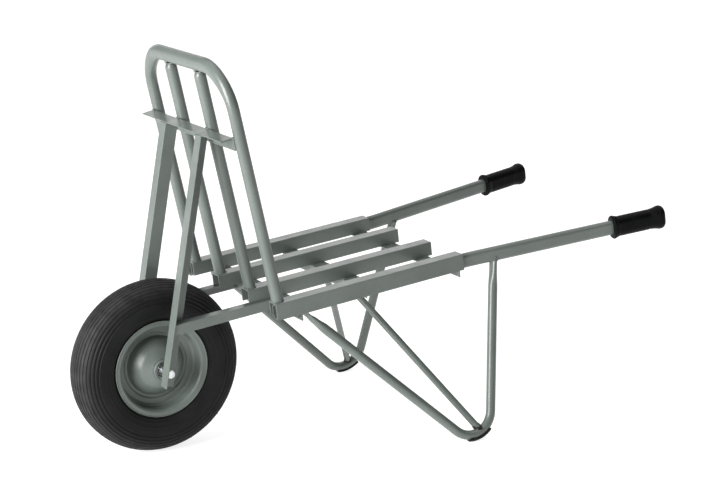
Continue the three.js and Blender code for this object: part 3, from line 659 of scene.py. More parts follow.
def cross_beads(x, pointing, half):
    """Stitches along the slats' edges on the level leg, and blobs where the hanging leg's ends show."""
    beads = []
    for y, left_depth, right_depth in SLATS.values():
        for side, depth in ((-1, left_depth), (1, right_depth)):
            edge = y + side * SLAT_WIDTH / 2
            if depth == SLAT_DEPTH:
                start, length = DICE.uniform(0.5, 3), DICE.uniform(10, 14)
                line = [(x + pointing * along, edge, CROSS_TOP) for along in (start, start + length)]
                beads.append(bead(line, 1.9))
                tack = [(x - pointing * 0.6, edge - side * along, CROSS_TOP) for along in (-1, 3)]
                beads.append(bead(tack, 1.7))
            elif half > NOTCH_INSIDE:
                for along in (-0.7, ANGLE_THICKNESS + 0.7):
                    across = (side * (BED_HALF_WIDTH - inwards) for inwards in (0.8, 4.5))
                    line = [(x + pointing * along, y, NOTCH_BOTTOM) for y in across]
                    beads.append(bead(line, 1.8))
    return beads


# ---- Handles and grips ----

HANDLE_START = Vector((
    0,
    -(SLAT_OUTER_Y + SLAT_WIDTH / 2 - SLAT_WALL - GAP - HANDLE_WIDTH / 2),
    -(SLAT_WALL + GAP + HANDLE_HEIGHT / 2),
))
HANDLE_CORNER = Vector((HANDLE_BEND_X, HANDLE_START.y, HANDLE_START.z))
HANDLE_SPREAD = (HANDLE_END - HANDLE_CORNER).normalized()


def handle_skin(growth=0.0, wall=HANDLE_WALL):
    loops = [stadium(HANDLE_WIDTH + 2 * growth, HANDLE_HEIGHT + 2 * growth)]
    if wall:
        loops.append(stadium(HANDLE_WIDTH - 2 * wall, HANDLE_HEIGHT - 2 * wall))
    end = HANDLE_END - HANDLE_SPREAD * (GRIP_END_WALL + GAP)
    path = bent([HANDLE_START, HANDLE_CORNER, end], HANDLE_BEND_RADIUS, 20)
    return moved(sweep(loops, path, Z_AXIS), BED)


def grip_profile():
    """Rubber thickness over the tube at distances along the grip, from its mouth to its closed end."""
    body, lip = GRIP_BODY_PAD, GRIP_BEAD_PAD
    roll_length, roll_height = 4, 3.4
    profile = [(0, 1.2), (0, lip - roll_height)]
    for step in range(1, 9):  # the rolled lip at the mouth
        turn = math.pi * step / 8
        pad = lip - roll_height + roll_height * math.sin(turn)
        profile.append((roll_length - roll_length * math.cos(turn), pad))
    profile += [(10, body + 2.2), (13, body + 1), (17, body + 0.2)]
    ribs_from, ribs_to, pitch = 20, GRIP_LENGTH - 38, 3.5
    count = int((ribs_to - ribs_from) / pitch)
    for i in range(count):  # fine finger ribs round the body
        start = ribs_from + i * pitch
        profile += [(start, body - 0.25), (start + 0.6, body + 0.2), (start + 2.2, body + 0.2),
                    (start + 2.8, body - 0.25)]
    steps = 5
    for i in range(steps):  # stepped bell at the end
        share = i / (steps - 1)
        along = GRIP_LENGTH - 36 + 20 * share
        pad = body + (lip - body - 0.4) * share ** 1.6
        profile += [(along, pad - 0.3), (along + 0.7, pad + 0.35), (along + 3.6, pad + 0.5)]
    for step in range(10):  # rounded end
        turn = math.pi / 2 * step / 9
        profile.append((GRIP_LENGTH - 10 + 10 * math.sin(turn), lip - 9 * (1 - math.cos(turn))))
    return profile


def grip_skin():
    """A rubber cup: the outside from mouth to end, the closed end, and the socket round the tube."""
    mouth = HANDLE_END - HANDLE_SPREAD * GRIP_LENGTH
    rings = grip_profile()
    end_pad = rings[-1][1]
    for share in (0.6, 0.2):
        rings.append((GRIP_LENGTH + 0.4 * (1 - share), end_pad - (end_pad + 6) * (1 - share)))
    points, faces, loops = [], [], []
    rise = (Z_AXIS - HANDLE_SPREAD * Z_AXIS.dot(HANDLE_SPREAD)).normalized()
    side = rise.cross(HANDLE_SPREAD)
    socket = [(GRIP_LENGTH - GRIP_END_WALL - GAP, GAP), (0.8, GAP)]
    for along, pad in socket + rings:
        outline = stadium(HANDLE_WIDTH + 2 * pad, HANDLE_HEIGHT + 2 * pad, 18)
        centre = mouth + HANDLE_SPREAD * along
        start = len(points)
        points += [centre + side * x + rise * y for x, y in outline]
        loops.append(range(start, len(points)))
    for near, far in zip(loops, loops[1:]):
        faces += band(near, far)
    faces += [tuple(loops[-1]), tuple(reversed(loops[0]))]
    return moved((points, faces), BED)


def build_handles():
    pair("handle", handle_skin(), PAINT, bevel=0.3)
    pair("grip", grip_skin(), GRIP, slot="grip_rubber")
    # The tube is welded into the rear end of its slat, along the top and down the inner side.
    top = -SLAT_WALL - GAP
    x = BED_LENGTH + 0.6
    inner = HANDLE_START.y + HANDLE_WIDTH / 2
    middle = HANDLE_START.y
    line = [(x, middle - 7, top), (x, middle + 4, top), (x, inner, top - 9), (x, inner, top - 26)]
    welds("handle_welds", both_sides([moved(bead(line, 1.7, X_AXIS), BED)]))


# ---- Headboard ----


def deepened(stations):
    """The round tube grows into an oval through each corner, and its outer side stays where it was."""
    travels = [travel_at(stations, index) for index in range(len(stations))]
    for at, travel in zip(stations, travels):
        share = min(max((abs(travel.y) - 0.2) / 0.65, 0), 1)
        extra = (HEAD_TOP_DEPTH / 2 - HEAD_TUBE) * share * share * (3 - 2 * share)
        at["point"] = at["point"] + travel.cross(X_AXIS) * extra
        at["side"] = 1 + extra / HEAD_TUBE
    return stations


PINCH_LENGTH, PINCH_STEPS = 15, 9


def build_headboard():
    seat_normal = Matrix.Rotation(HEAD_LEAN - BED_SLOPE, 3, "Y") @ Z_AXIS
    seat = (seat_normal, seat_normal * GAP)
    outlines = scaled_pipe(HEAD_TUBE, HEAD_TUBE_WALL, 40)
    feet = [Vector((0, -HEAD_HALF_WIDTH, 0)), Vector((0, HEAD_HALF_WIDTH, 0))]
    corners = [foot + Z_AXIS * HEAD_HEIGHT for foot in feet]
    path = deepened(bent([feet[0], *corners, feet[1]], HEAD_CORNER_RADIUS, 28))
    path[0]["plane"] = path[-1]["plane"] = seat
    piece("headboard_hoop", moved(sweep(outlines, path, X_AXIS), HEAD), PAINT, bevel=0.3)

    top = HEAD_HEIGHT + HEAD_TUBE - HEAD_TOP_DEPTH - GAP
    y = -SLAT_INNER_Y
    path = [station((0, y, 0), plane=seat), station((0, y, top - PINCH_LENGTH))]
    for step in range(1, PINCH_STEPS + 1):  # pinched and rounded under the top of the hoop
        share = step / PINCH_STEPS
        side, rise = 1 - 0.3 * share ** 3, 1 - 0.4 * share ** 2.2
        path.append(station((0, y, top - PINCH_LENGTH * (1 - share)), side, rise))
    pair("headboard_bar", moved(sweep(outlines, path, X_AXIS), HEAD), PAINT, bevel=0.3)

    rear = -HEAD_TUBE - GAP
    outline = hanging_angle_outline(HEAD_ANGLE_LEG, ANGLE_THICKNESS)
    ends = [(rear, -HEAD_ANGLE_HALF, HEAD_ANGLE_TOP), (rear, HEAD_ANGLE_HALF, HEAD_ANGLE_TOP)]
    piece("headboard_cross_angle", moved(bar(outline, *ends, Z_AXIS), HEAD), PAINT, bevel=0.3)
    welds("headboard_welds", [moved(skin, HEAD) for skin in headboard_beads(seat_normal, top)])


def headboard_beads(seat_normal, top):
    beads = []
    for y in (-HEAD_HALF_WIDTH, -SLAT_INNER_Y, SLAT_INNER_Y, HEAD_HALF_WIDTH):
        ring = [
            (x, y + across, GAP - (seat_normal.x * x) / seat_normal.z + 0.6)
            for x, across in ellipse(HEAD_TUBE + 0.5, HEAD_TUBE + 0.5, 48)
        ]
        beads.append(bead(ring, 1.2, Z_AXIS, is_ring=True))
        # A short bead where the cross angle's top edge meets the tube's front, and one below.
        if abs(y) < HEAD_ANGLE_HALF:
            for z, half in ((HEAD_ANGLE_TOP + 0.4, 8.5), (HEAD_ANGLE_TOP - HEAD_ANGLE_LEG - 0.2, 6)):
                arc = [
                    (-HEAD_TUBE * math.cos(a) - 0.4, y + HEAD_TUBE * math.sin(a), z)
                    for a in (half / HEAD_TUBE * (k / 6 - 1) for k in range(13))
                ]
                beads.append(bead(arc, 1.8))
    pinched = 0.7 * HEAD_TUBE
    for y in (-SLAT_INNER_Y, SLAT_INNER_Y):
        # A heavy run of weld on the far side of each bar's pinched top, and a light one near.
        for side, reach, size in ((1, 13, 3.6), (-1, 3, 2.0)):
            line = [
                (-3, y + side * (pinched - 1), top - 2), (-2.5, y + side * (pinched + 3), top - 1),
                (-2, y + side * (pinched + reach), top + 0.6),
            ]
            beads.append(bead(line, size, X_AXIS))
    for side in (-1, 1):  # the cross angle's ends against the outer tubes
        line = [
            (-HEAD_TUBE - 1, side * (HEAD_ANGLE_HALF - 4), HEAD_ANGLE_TOP + 0.6),
            (-HEAD_TUBE - 1, side * (HEAD_ANGLE_HALF + 2), HEAD_ANGLE_TOP),
            (-HEAD_TUBE - 0.6, side * (HEAD_ANGLE_HALF + 1.2), HEAD_ANGLE_TOP - 13),
            (-HEAD_TUBE - 0.8, side * (HEAD_ANGLE_HALF + 1), HEAD_ANGLE_TOP - HEAD_ANGLE_LEG + 1),
        ]
        beads.append(bead(line, 2.3, X_AXIS))
    return beads


# ---- Fork ----

SHELF = HEAD_ANGLE_TOP - ANGLE_THICKNESS - GAP
STRUT_TOP = HEAD @ Vector((-HEAD_TUBE - GAP - HEAD_ANGLE_LEG, -STRUT_INNER_Y, SHELF))
STRUT_AT_AXLE = Vector((-STRUT_AXLE_OFFSET, -STRUT_INNER_Y, WHEEL_RADIUS))
STRUT_RISE = (STRUT_TOP - STRUT_AT_AXLE).normalized()
STRUT_REARWARD = -STRUT_RISE.cross(Y_AXIS).normalized()


def build_fork():
    foot = STRUT_AT_AXLE - STRUT_RISE * STRUT_TAIL
    shelf_normal = Matrix.Rotation(-HEAD_LEAN, 3, "Y") @ Z_AXIS
    outline = angle_outline(STRUT_LEG, ANGLE_THICKNESS)
    strut = bar(outline, foot, STRUT_TOP, STRUT_REARWARD, end_plane=(shelf_normal, STRUT_TOP))
    hole_outline = [(0, -20), (BOLT_RADIUS + GAP, -20), (BOLT_RADIUS + GAP, 20), (0, 20)]
    hole = moved(turned(hole_outline, 48), Matrix.Translation((0, -STRUT_INNER_Y, WHEEL_RADIUS)))
    behind, margin = -HEAD_TUBE - ANGLE_THICKNESS - 2 * GAP, 80
    notch = moved(block(
        (behind, -STRUT_INNER_Y - 60, HEAD_ANGLE_TOP - margin),
        (behind + margin, -STRUT_INNER_Y + 60, HEAD_ANGLE_TOP + margin),
    ), HEAD)
    pair("fork_strut", strut, PAINT, [hole, notch], bevel=0.3)

    outer_y = -(STRUT_INNER_Y + ANGLE_THICKNESS + GAP + STAY_LEG)
    front = BED @ Vector((-BED_FRONT.x, outer_y, CROSS_TOP))
    rear = BED @ Vector((FRONT_CROSS_X - GAP, outer_y, CROSS_TOP))
    behind_strut = STRUT_AT_AXLE + STRUT_REARWARD * (ANGLE_THICKNESS + GAP)
    outline = hanging_angle_outline(STAY_LEG, ANGLE_THICKNESS)
    stay = bar(outline, front, rear, BED_NORMAL, start_plane=(STRUT_REARWARD, behind_strut))
    pair("fork_stay", stay, PAINT, bevel=0.3)
    welds("fork_welds", both_sides(fork_beads(front, rear, behind_strut)))


def fork_beads(front, rear, behind_strut):
    inner_y = -(STRUT_INNER_Y + ANGLE_THICKNESS + 0.6)
    reach = STRUT_REARWARD.dot(behind_strut - front) / STRUT_REARWARD.dot(BED_ALONG)
    meeting = front + BED_ALONG * (reach + 0.4)
    corner = Vector((meeting.x, front.y + 1.5, meeting.z + 0.6))
    flank = Vector((meeting.x + 4, inner_y, meeting.z + 1.2))
    top = rear + BED_NORMAL * 0.3
    head = STRUT_TOP - STRUT_RISE * 0.8
    side = head - Y_AXIS * (STRUT_LEG + 0.2)
    return [
        # Where the stay's front end meets the strut: along its top edge and down its outer face.
        bead([(meeting.x, inner_y, meeting.z + 0.6), corner], 2.0),
        bead([corner, corner - STRUT_RISE * (STAY_LEG - 1)], 2.2, X_AXIS),
        # Along the strut's rear leg, where the stay's top leg touches it.
        bead([flank, flank + BED_ALONG * 20], 1.8),
        # The stay's rear end under the bed.
        bead([top + Y_AXIS, top + Y_AXIS * (STAY_LEG - 1)], 1.9),
        # The strut's head under the cross angle's shelf.
        bead([head - Y_AXIS, head - Y_AXIS * (STRUT_LEG - 2)], 1.8),
        bead([side + STRUT_REARWARD, side + STRUT_REARWARD * 11 + Z_AXIS * 1.2], 1.8),
    ]


# ---- Legs ----

ARM_DIRECTION = (LEG_CORNER - LEG_ARM_TOP).normalized()
POST_DIRECTION = (LEG_CORNER - LEG_POST_TOP).normalized()
LEG_NORMAL = (LEG_CORNER - LEG_ARM_TOP).cross(LEG_POST_TOP - LEG_CORNER).normalized()


def eased(knots, distance):
    """A smooth value at a distance between knots given as (distance, value)."""
    for (d0, v0), (d1, v1) in zip(knots, knots[1:]):
        if distance <= d1:
            share = max((distance - d0) / (d1 - d0), 0)
            return v0 + (v1 - v0) * share * share * (3 - 2 * share)
    return knots[-1][1]


SQUASHED_LENGTH, POST_OVERRUN = 66, 8
ARM_SIDE, ARM_RISE = [(0, 0.36), (24, 0.7), (56, 1)], [(0, 1.36), (24, 1.2), (56, 1)]
POST_SIDE, POST_RISE = [(-8, 0.68), (18, 0.7), (62, 1)], [(-8, 1.24), (18, 1.22), (62, 1)]


def leg_end(top, direction, start, finish, steps, sides, rises):
    """Stations from start to finish below a tube's top, where its section changes shape."""
    places = [start + (finish - start) * step / steps for step in range(steps + 1)]
    return [station(top + direction * along, eased(sides, along), eased(rises, along)) for along in places]


def leg_stations():
    """The tube's front end is squashed flat under the slat, and its rear end narrows under the handle."""
    stations = leg_end(LEG_ARM_TOP, ARM_DIRECTION, 0, SQUASHED_LENGTH, 15, ARM_SIDE, ARM_RISE)
    stations[0]["plane"] = (BED_NORMAL, BED @ Vector((0, 0, -RAIL_DEPTH - GAP)))
    stations += bent([LEG_ARM_TOP, LEG_CORNER, LEG_POST_TOP], LEG_BEND_RADIUS, 26)[1:-1]
    return stations + leg_end(
        LEG_POST_TOP, POST_DIRECTION, SQUASHED_LENGTH, -POST_OVERRUN, 19, POST_SIDE, POST_RISE)


def leg_skin():
    return sweep(scaled_pipe(LEG_TUBE, LEG_TUBE_WALL, 32), leg_stations(), LEG_NORMAL)


def shoe_skin():
    """A saddle along the outside of the bend, with a lip at its rear end."""
    bend = bent([LEG_ARM_TOP, LEG_CORNER, LEG_POST_TOP], LEG_BEND_RADIUS, 50)[1:-1]
    first, last = (round(share * (len(bend) - 1)) for share in SHOE_SPAN)
    inner = LEG_TUBE + 2 * GAP
    count = 16

    def arc(radius, ease=1.0):
        spread = SHOE_HALF_ANGLE * ease
        return [
            (radius * math.cos(math.pi - spread + 2 * spread * i / count),
             radius * math.sin(math.pi - spread + 2 * spread * i / count))
            for i in range(count + 1)
        ]

    outline = arc(inner + SHOE_THICKNESS) + arc(inner)[::-1]
    return sweep([outline], bend[first:last + 1], LEG_NORMAL)


def surface_ring(skin, centre, direction, across, radii):
    """Where lines along a direction, started round an ellipse, first meet a skin."""
    points, faces = skin
    tree = BVHTree.FromPolygons(points, faces)
    other = direction.cross(across).normalized()
    ring = []
    for x, y in ellipse(*radii, 44):
        start = centre + across * x + other * y - direction * 60
        hit = tree.ray_cast(start, direction, 140)[0]
        if hit:
            ring.append(hit)
    return ring


def build_legs():
    handle = handle_skin(GAP, 0)
    leg = leg_skin()
    pair("leg", leg, PAINT, [handle], bevel=0.3)
    x, y = LEG_CORNER.xy
    ground = block((x - 200, y - 90, -40), (x + 200, y + 90, 0))
    pair("foot_shoe", shoe_skin(), SHOE, [ground], slot="shoe_rubber", bevel=0.5)

    under_shelf = BED @ Vector((0, 0, CROSS_TOP - ANGLE_THICKNESS - GAP))
    ends = [station(BRACE_TOP, plane=(BED_NORMAL, under_shelf)), station(BRACE_FOOT)]
    brace = sweep(scaled_pipe(BRACE_TUBE, BRACE_TUBE_WALL, 32), ends, X_AXIS)
    core = sweep([ellipse(LEG_TUBE + GAP, LEG_TUBE + GAP)], leg_stations(), LEG_NORMAL)
    pair("leg_brace", brace, PAINT, [core], bevel=0.3)
    welds("leg_welds", both_sides(leg_beads(handle)))
    # The brace-foot weld is coloured near-black: painted shade at the joint.
    welds("brace_foot_welds", both_sides(brace_foot_beads(leg)), material=SHADE_BLACK_WELD)


def leg_beads(handle):
    """One bead round the post's top under the handle, and one round the arm's squashed top under the slat."""
    across = LEG_NORMAL.cross(POST_DIRECTION).normalized()
    radii = (LEG_TUBE * 0.7 + 0.4, LEG_TUBE * 1.22 + 0.4)
    ring = surface_ring(handle, LEG_POST_TOP, -POST_DIRECTION, across, radii)
    under_handle = bead(ring, 1.8, POST_DIRECTION, is_ring=True)
    flat = []
    bed_point = BED @ Vector((0, 0, -RAIL_DEPTH - GAP - 0.5))
    across = LEG_NORMAL.cross(ARM_DIRECTION).normalized()
    for x, y in ellipse(LEG_TUBE * 0.3 + 0.3, LEG_TUBE * 1.38 + 0.3, 40):
        p = LEG_ARM_TOP + across * x + LEG_NORMAL * y
        p += ARM_DIRECTION * BED_NORMAL.dot(bed_point - p) / BED_NORMAL.dot(ARM_DIRECTION)
        flat.append(p)
    return [under_handle, bead(flat, 1.6, Z_AXIS, is_ring=True)]


def brace_foot_beads(leg):
    """A heavy weld round the brace's foot on the bend, run over four times; its near-black colour is painted
    shade.
    """
    along = (BRACE_FOOT - BRACE_TOP).normalized()
    side = X_AXIS.cross(along).normalized()
    foot = surface_ring(leg, BRACE_FOOT, along, side, (BRACE_TUBE + 0.3, BRACE_TUBE + 0.3))
    foot = [p for p in foot if (p - BRACE_FOOT).length < 2.2 * BRACE_TUBE]
    runs = ((0, 1.6), (2.6, 1.3), (5.2, 1.0), (7.4, 0.8))  # distance up the brace, size
    return [bead([p - along * back for p in foot], size, along, is_ring=True) for back, size in runs]


# ---- Wheel ----


def smooth_line(knots, steps):
    """A Catmull-Rom line through (radius, y) knots."""
    points = []
    for i in range(len(knots) - 1):
        p0, p2 = (Vector(knot) for knot in neighbours(knots, i))
        p1, p3 = (Vector(knot) for knot in neighbours(knots, i + 1))
        for k in range(steps):
            t = k / steps
            points.append(0.5 * (
                2 * p1 + (p2 - p0) * t + (2 * p0 - 5 * p1 + 4 * p2 - p3) * t ** 2
                + (3 * p1 - p0 - 3 * p2 + p3) * t ** 3
            ))
    points.append(Vector(knots[-1]))
    return points


TYRE_OUTER = [(103, 38), (111, 38.3), (123, 45), (147, 50), (168, 48.5), (185, 40.5), (195.5, 25), (200, 8)]
TYRE_INNER = [(103, 33), (124, 39), (147, 44), (168, 42), (184, 30), (192, 10)]
GROOVE_DEPTH, GROOVE_WIDTH, GROOVE_PITCH, GROOVE_COUNT = 2.8, 5.4, 8.8, 9
SIDEWALL_RINGS = [(119, 0.7, 1.3), (126, 0.45, 1.0), (137, 0.5, 1.2)]  # radius, height, half width
SHOULDER_RADIUS = 150


def tyre_half():
    """Half of the tyre's outside, from crown to bead, with grooves counted outwards from the crown."""
    line = smooth_line(TYRE_OUTER + [(WHEEL_RADIUS, -8)], 40)
    line = [Vector((WHEEL_RADIUS, 0))] + [p for p in reversed(line) if p.y > 0]
    dense = resample([p.to_3d() for p in line], 0.5)
    profile, along = [], 0.0
    for i, p in enumerate(dense):
        if i:
            along += (p - dense[i - 1]).length
        before, after = neighbours(dense, i)
        tangent = (after - before).normalized()
        outward = Vector((-tangent.y, tangent.x))
        roughly = Vector((1, 0.4)) if p.x > SHOULDER_RADIUS else Vector((0, 1))
        if outward.dot(roughly) < 0:
            outward.negate()
        lift = 0.0
        nearest = round(along / GROOVE_PITCH - 0.5)
        if 0 <= nearest < GROOVE_COUNT:
            offset = abs(along - (nearest + 0.5) * GROOVE_PITCH) / (GROOVE_WIDTH / 2)
            fade = 1 - 0.6 * nearest / GROOVE_COUNT
            lift -= GROOVE_DEPTH * fade * max(0, 1 - offset ** 3)
        for radius, height, half in SIDEWALL_RINGS:
            offset = abs(p.x - radius) / half
            if offset < 1:
                lift += height * (1 - offset ** 2) ** 2
        profile.append((p.x + outward.x * lift, p.y + outward.y * lift))
    return [point for i, point in enumerate(profile) if keep_point(profile, i)]


def keep_point(profile, index):
    """Drops points on straight stretches, so that the mesh is dense only where it curves."""
    if index in (0, len(profile) - 1) or index % 6 == 0:
        return True
    a, b, c = (Vector(profile[index + k]) for k in (-1, 0, 1))
    return (b - a).angle(c - b) > 0.05


NIB_COUNT, NIB_REACH = 26, 34


def build_tyre():
    outside = tyre_half()[::-1]  # bead to crown
    inside = [tuple(p) for p in smooth_line(TYRE_INNER, 4)]
    outline = reflected(outside) + reflected(inside)[::-1]
    tyre = turned(outline, 168)
    nibs = []
    stub = turned([(0, 0), (0.55, 0), (0.5, 2.4), (0.3, 2.7), (0, 2.7)], 8)
    for _ in range(NIB_COUNT):  # stubs of the mould's vents
        angle, across = DICE.uniform(0, ROUND), DICE.choice((-1, 1)) * DICE.uniform(6, NIB_REACH)
        radius = WHEEL_RADIUS - 8 * (across / NIB_REACH) ** 2 - 1.2
        lean = math.atan2(abs(across) * 0.5, radius) * (1 if across > 0 else -1)
        spot = Matrix.Rotation(-angle, 4, "Y") @ Matrix.Translation((radius, across, 0))
        upright = Matrix.Rotation(-math.pi / 2 + lean, 4, "Z")
        nibs.append(moved(stub, spot @ upright))
    piece("tyre", moved(joined([tyre, *nibs]), WHEEL), TYRE, body="wheel", slot="tyre_rubber")


RIM_LINE = [
    (112.4, 43.2, 0), (110, 41.6, 3), (102, 40.4, 2.5), (98.8, 36, 4), (97, 12, 5), (90, 6.2, 3),
    (79, 5.6, 2.5), (75.5, 2.6, 2), (69, 2.6, 4), (62.5, 14, 10), (46, 33, 24), (25.4, 44.5, 0),
]


def valve_matrix():
    """The stem's own frame: origin on the bead seat, y pointing out of the hole towards the hub."""
    inward = Vector((-math.cos(VALVE_ANGLE), 0, -math.sin(VALVE_ANGLE)))
    axis = inward * math.cos(VALVE_TILT) - Y_AXIS * math.sin(VALVE_TILT)
    seat = Vector((BEAD_SEAT * math.cos(VALVE_ANGLE), -22, BEAD_SEAT * math.sin(VALVE_ANGLE)))
    turn = Y_AXIS.rotation_difference(axis).to_matrix().to_4x4()
    return WHEEL @ Matrix.Translation(seat) @ turn


def build_rim():
    line = rounded([(radius, -y, fillet) for radius, y, fillet in RIM_LINE], 6, is_open=True)
    thickness, hole_radius, chamfer = 2, 5, 0.8
    shell = moved(turned(sheet_outline(line, thickness), 144), WHEEL)
    hole_outline = [(0, -30), (hole_radius, -30), (hole_radius, 12), (0, 12)]
    hole = moved(turned(hole_outline, 32), valve_matrix())
    left = without("rim_shell_left", shell, hole)
    piece("rim_shell_left", left, RIM_PAINT, body="wheel")
    piece("rim_shell_right", mirrored(shell), RIM_PAINT, body="wheel")
    hub = [
        (HUB_INNER, -HUB_HALF + chamfer), (HUB_INNER + chamfer, -HUB_HALF),
        (HUB_OUTER - chamfer, -HUB_HALF), (HUB_OUTER, -HUB_HALF + chamfer),
    ]
    piece("hub_tube", moved(turned(reflected(hub), 96), WHEEL), RIM_PAINT, body="wheel")
    ring = [(x, -45.2, z) for x, z in ellipse(HUB_OUTER + 0.7, HUB_OUTER + 0.7, 72)]
    seam = moved(bead(ring, 1.7, Y_AXIS, is_ring=True), WHEEL)
    welds("hub_welds", both_sides([seam]), body="wheel")


def build_valve():
    at = valve_matrix()
    stem = rounded([
        (0, -13.5, 0), (4.3, -13.5, 0.5), (4.3, 7, 0.5), (5.5, 8.4, 0.8), (4.1, 12, 1), (3.5, 20.5, 0.4),
        (2.2, 21.4, 0.3), (2.2, 26, 0.2), (0, 26, 0),
    ], 3, is_open=True)
    piece("valve_stem", moved(turned(stem, 32), at), VALVE, body="wheel", slot="valve_rubber")

    def knurl(angle, radius, y):
        grip = 0.16 * math.cos(18 * angle) if radius > 3.5 and 23.5 < y < 29.5 else 0
        return radius + grip, y

    cap = [(0, 26.4), (2.6, 26.4), (2.6, 22.6), (3.7, 22.6), (4, 23), (4, 23.6), (4, 29.4), (3.8, 30.4),
           (3, 31.4), (0, 31.4)]
    piece("valve_cap", moved(turned(cap, 144, knurl), at), VALVE, body="wheel", slot="valve_rubber")


def build_bearings():
    half = BEARING_WIDTH / 2
    outer = rounded(reflected([(17.7, -1.2, 0), (16.5, -3.3, 0), (16.5, -half, 0.3), (20, -half, 0.6)]), 3)
    inner = rounded(reflected([(8.7, -half, 0.5), (12.2, -half, 0.3), (12.2, -3.3, 0), (10.8, -1.2, 0)]), 3)
    shield = rounded(reflected([
        (12.6, -0.45, 0.1), (13.4, -0.45, 0.1), (13.6, -0.15, 0.1), (15.2, -0.15, 0.1), (15.4, -0.45, 0.1),
        (16.1, -0.45, 0.1),
    ]), 2)
    steel = {"slot": "bearing_steel"}
    for side, sign in (("left", -1), ("right", 1)):
        at = WHEEL @ Matrix.Translation((0, sign * BEARING_CENTRE, 0))
        cover = WHEEL @ Matrix.Translation((0, sign * (BEARING_CENTRE + half - 0.9), 0))
        piece(f"bearing_outer_ring_{side}", moved(turned(outer, 72), at), STEEL, body="wheel", **steel)
        piece(f"bearing_inner_ring_{side}", moved(turned(inner, 72), at), STEEL, **steel)
        piece(f"bearing_shield_{side}", moved(turned(shield, 72), cover), SHIELD, body="wheel",
              slot="shield_rubber")


# ---- Axle ----


WASHER_THICKNESS, WASHER_RADIUS, BOLT_HEAD, NUT_HEIGHT = 2.5, 10, 7, 8
THREAD_FROM, THREAD_PITCH, THREAD_DEPTH, THREAD_STEP = 40, 1.5, 0.8, 0.25


def hexagon(angle, radius, depth):
    """Mills a round head to six flats, and rounds its corners off close to a face."""
    flat = BOLT_FLATS / 2
    sector = (angle + math.pi / 6) % (math.pi / 3) - math.pi / 6
    return min(radius, flat / math.cos(sector), flat - 0.1 + depth * 1.9)


def build_axle():
    outside = STRUT_INNER_Y + ANGLE_THICKNESS
    washer_face = outside + GAP
    head_face = washer_face + WASHER_THICKNESS + GAP
    sleeve_half = STRUT_INNER_Y - GAP
    spacer_half = BEARING_CENTRE - BEARING_WIDTH / 2 - GAP
    zinc = {"slot": "zinc_plate"}

    def ring(inner, outer, y0, y1, soft=0.3):
        corners = [(inner, y0, soft), (outer, y0, soft), (outer, y1, soft), (inner, y1, soft)]
        return moved(turned(rounded(corners, 3), 72), WHEEL)

    piece("axle_sleeve", ring(5.4, 8.4, -sleeve_half, sleeve_half, 0.5), ZINC, **zinc)
    piece("bearing_spacer", ring(8.7, 11.5, -spacer_half, spacer_half), STEEL, slot="bearing_steel")
    washer = ring(BOLT_RADIUS + GAP, WASHER_RADIUS, -washer_face - WASHER_THICKNESS, -washer_face)
    pair("axle_washer", washer, ZINC, **zinc)

    wide = BOLT_FLATS / math.sqrt(3) + 0.2
    top, end, bore = -head_face - BOLT_HEAD, head_face + NUT_HEIGHT + 3, BOLT_RADIUS + GAP
    thread_rows = int((end - 1.2 - THREAD_FROM) / THREAD_STEP)
    outline = [(0, top + 0.5), (5.2, top + 0.5), (5.6, top)]
    outline += [(wide, top + BOLT_HEAD * k / 8) for k in range(9)]
    outline += [(BOLT_RADIUS, -head_face), (BOLT_RADIUS, THREAD_FROM - 1)]
    outline += [(BOLT_RADIUS, THREAD_FROM + THREAD_STEP * k) for k in range(thread_rows)]
    outline += [(BOLT_RADIUS - 0.2, end - 1), (BOLT_RADIUS - 1.2, end), (0, end)]

    def bolt_shape(angle, radius, y):
        if radius > BOLT_RADIUS + 0.7 and y < -head_face + 0.01:
            return hexagon(angle, radius, y - top), y
        if y > THREAD_FROM:
            turn = (y / THREAD_PITCH - angle / ROUND) % 1
            return radius - THREAD_DEPTH * abs(2 * turn - 1), y
        return radius, y

    def nut_shape(angle, radius, y):
        if radius < bore + 0.7:
            return radius, y
        return hexagon(angle, radius, min(y - head_face, head_face + NUT_HEIGHT - y)), y

    piece("axle_bolt", moved(turned(outline, 96, bolt_shape), WHEEL), ZINC, **zinc)
    outline = [(bore, head_face + 0.4), (bore + 0.5, head_face)]
    outline += [(wide, head_face + NUT_HEIGHT * k / 10) for k in range(11)]
    outline += [(bore + 0.5, head_face + NUT_HEIGHT), (bore, head_face + NUT_HEIGHT - 0.4)]
    piece("axle_nut", moved(turned(outline, 96, nut_shape), WHEEL), ZINC, **zinc)


# ---- Pieces that stay hidden inside keep their CAD shape and take a finish ----


def finish_hidden_nodes():
    hidden = {"inner_tube": TUBE, "bearing_balls_left": STEEL, "bearing_balls_right": STEEL}
    for name, material in hidden.items():
        node = frame["nodes"][name]
        node.data.materials.clear()
        node.data.materials.append(material)


# ---- Studio ----


FLOOR_HALF = 40


def area_light(name, place, target, size, power):
    lamp = bpy.data.lights.new(name, "AREA")
    lamp.shape, lamp.size, lamp.size_y = "RECTANGLE", *size
    lamp.energy = power
    light = placed(name, lamp)
    light.location = place
    light.rotation_euler = (Vector(target) - Vector(place)).to_track_quat("-Z", "Y").to_euler()
    light.visible_camera = False


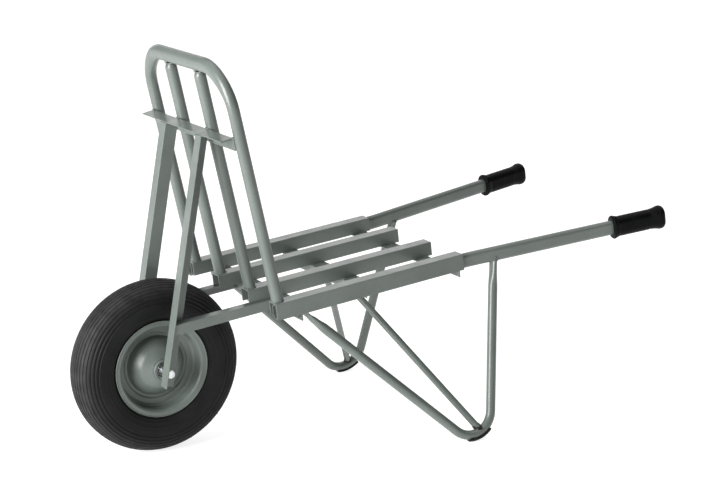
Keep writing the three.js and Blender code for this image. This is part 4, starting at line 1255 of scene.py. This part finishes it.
def build_studio():
    mesh = bpy.data.meshes.new("studio_floor")
    corners = [(x * FLOOR_HALF, y * FLOOR_HALF, 0) for x, y in ((-1, -1), (1, -1), (1, 1), (-1, 1))]
    mesh.from_pydata(corners, [], [(0, 1, 2, 3)])
    mesh.materials.append(floor_finish())
    floor = placed("studio_floor", mesh)

    world = bpy.data.worlds.new("studio")
    world.use_nodes = True
    background = world.node_tree.nodes["Background"].inputs
    background["Color"].default_value = (1, 1, 1, 1)
    background["Strength"].default_value = 0.05
    SCENE.world = world
    sky = bpy.data.lights.new("overhead", "SUN")
    sky.energy, sky.angle = 1.6, math.radians(75)
    placed("overhead", sky).rotation_euler = (math.radians(-8), math.radians(10), 0)
    area_light("key", (-3.7, -0.85, 1.25), (-0.1, 0, 0.45), (2.2, 2.2), 262)
    area_light("back", (1.9, 4.4, 2.0), (0, 0, 0.4), (6.0, 2.4), 72)
    SCENE.view_settings.view_transform = "Standard"


CAMERA_PLACE = Vector((-2.2434, -4.0838, 1.5304))
CAMERA_YAW, CAMERA_PITCH, CAMERA_ROLL = (math.radians(turn) for turn in (29.241, 13.303, -0.157))


def build_camera():
    level = Vector((math.cos(CAMERA_YAW), -math.sin(CAMERA_YAW), 0))
    ahead = Vector((math.sin(CAMERA_YAW), math.cos(CAMERA_YAW), 0))
    forward = ahead * math.cos(CAMERA_PITCH) - Z_AXIS * math.sin(CAMERA_PITCH)
    right = level * math.cos(CAMERA_ROLL) + level.cross(forward) * math.sin(CAMERA_ROLL)
    up = right.cross(forward)
    lens = bpy.data.cameras.new("camera")
    lens.lens, lens.sensor_width, lens.sensor_fit = 100, 36, "HORIZONTAL"
    camera = placed("camera", lens)
    turn = Matrix((right, up, -forward)).transposed().to_4x4()
    camera.matrix_world = Matrix.Translation(CAMERA_PLACE) @ turn
    SCENE.camera = camera


build_camera()
build_studio()
build_bed()
build_handles()
build_headboard()
build_fork()
build_legs()
build_tyre()
build_rim()
build_valve()
build_bearings()
build_axle()
finish_hidden_nodes()
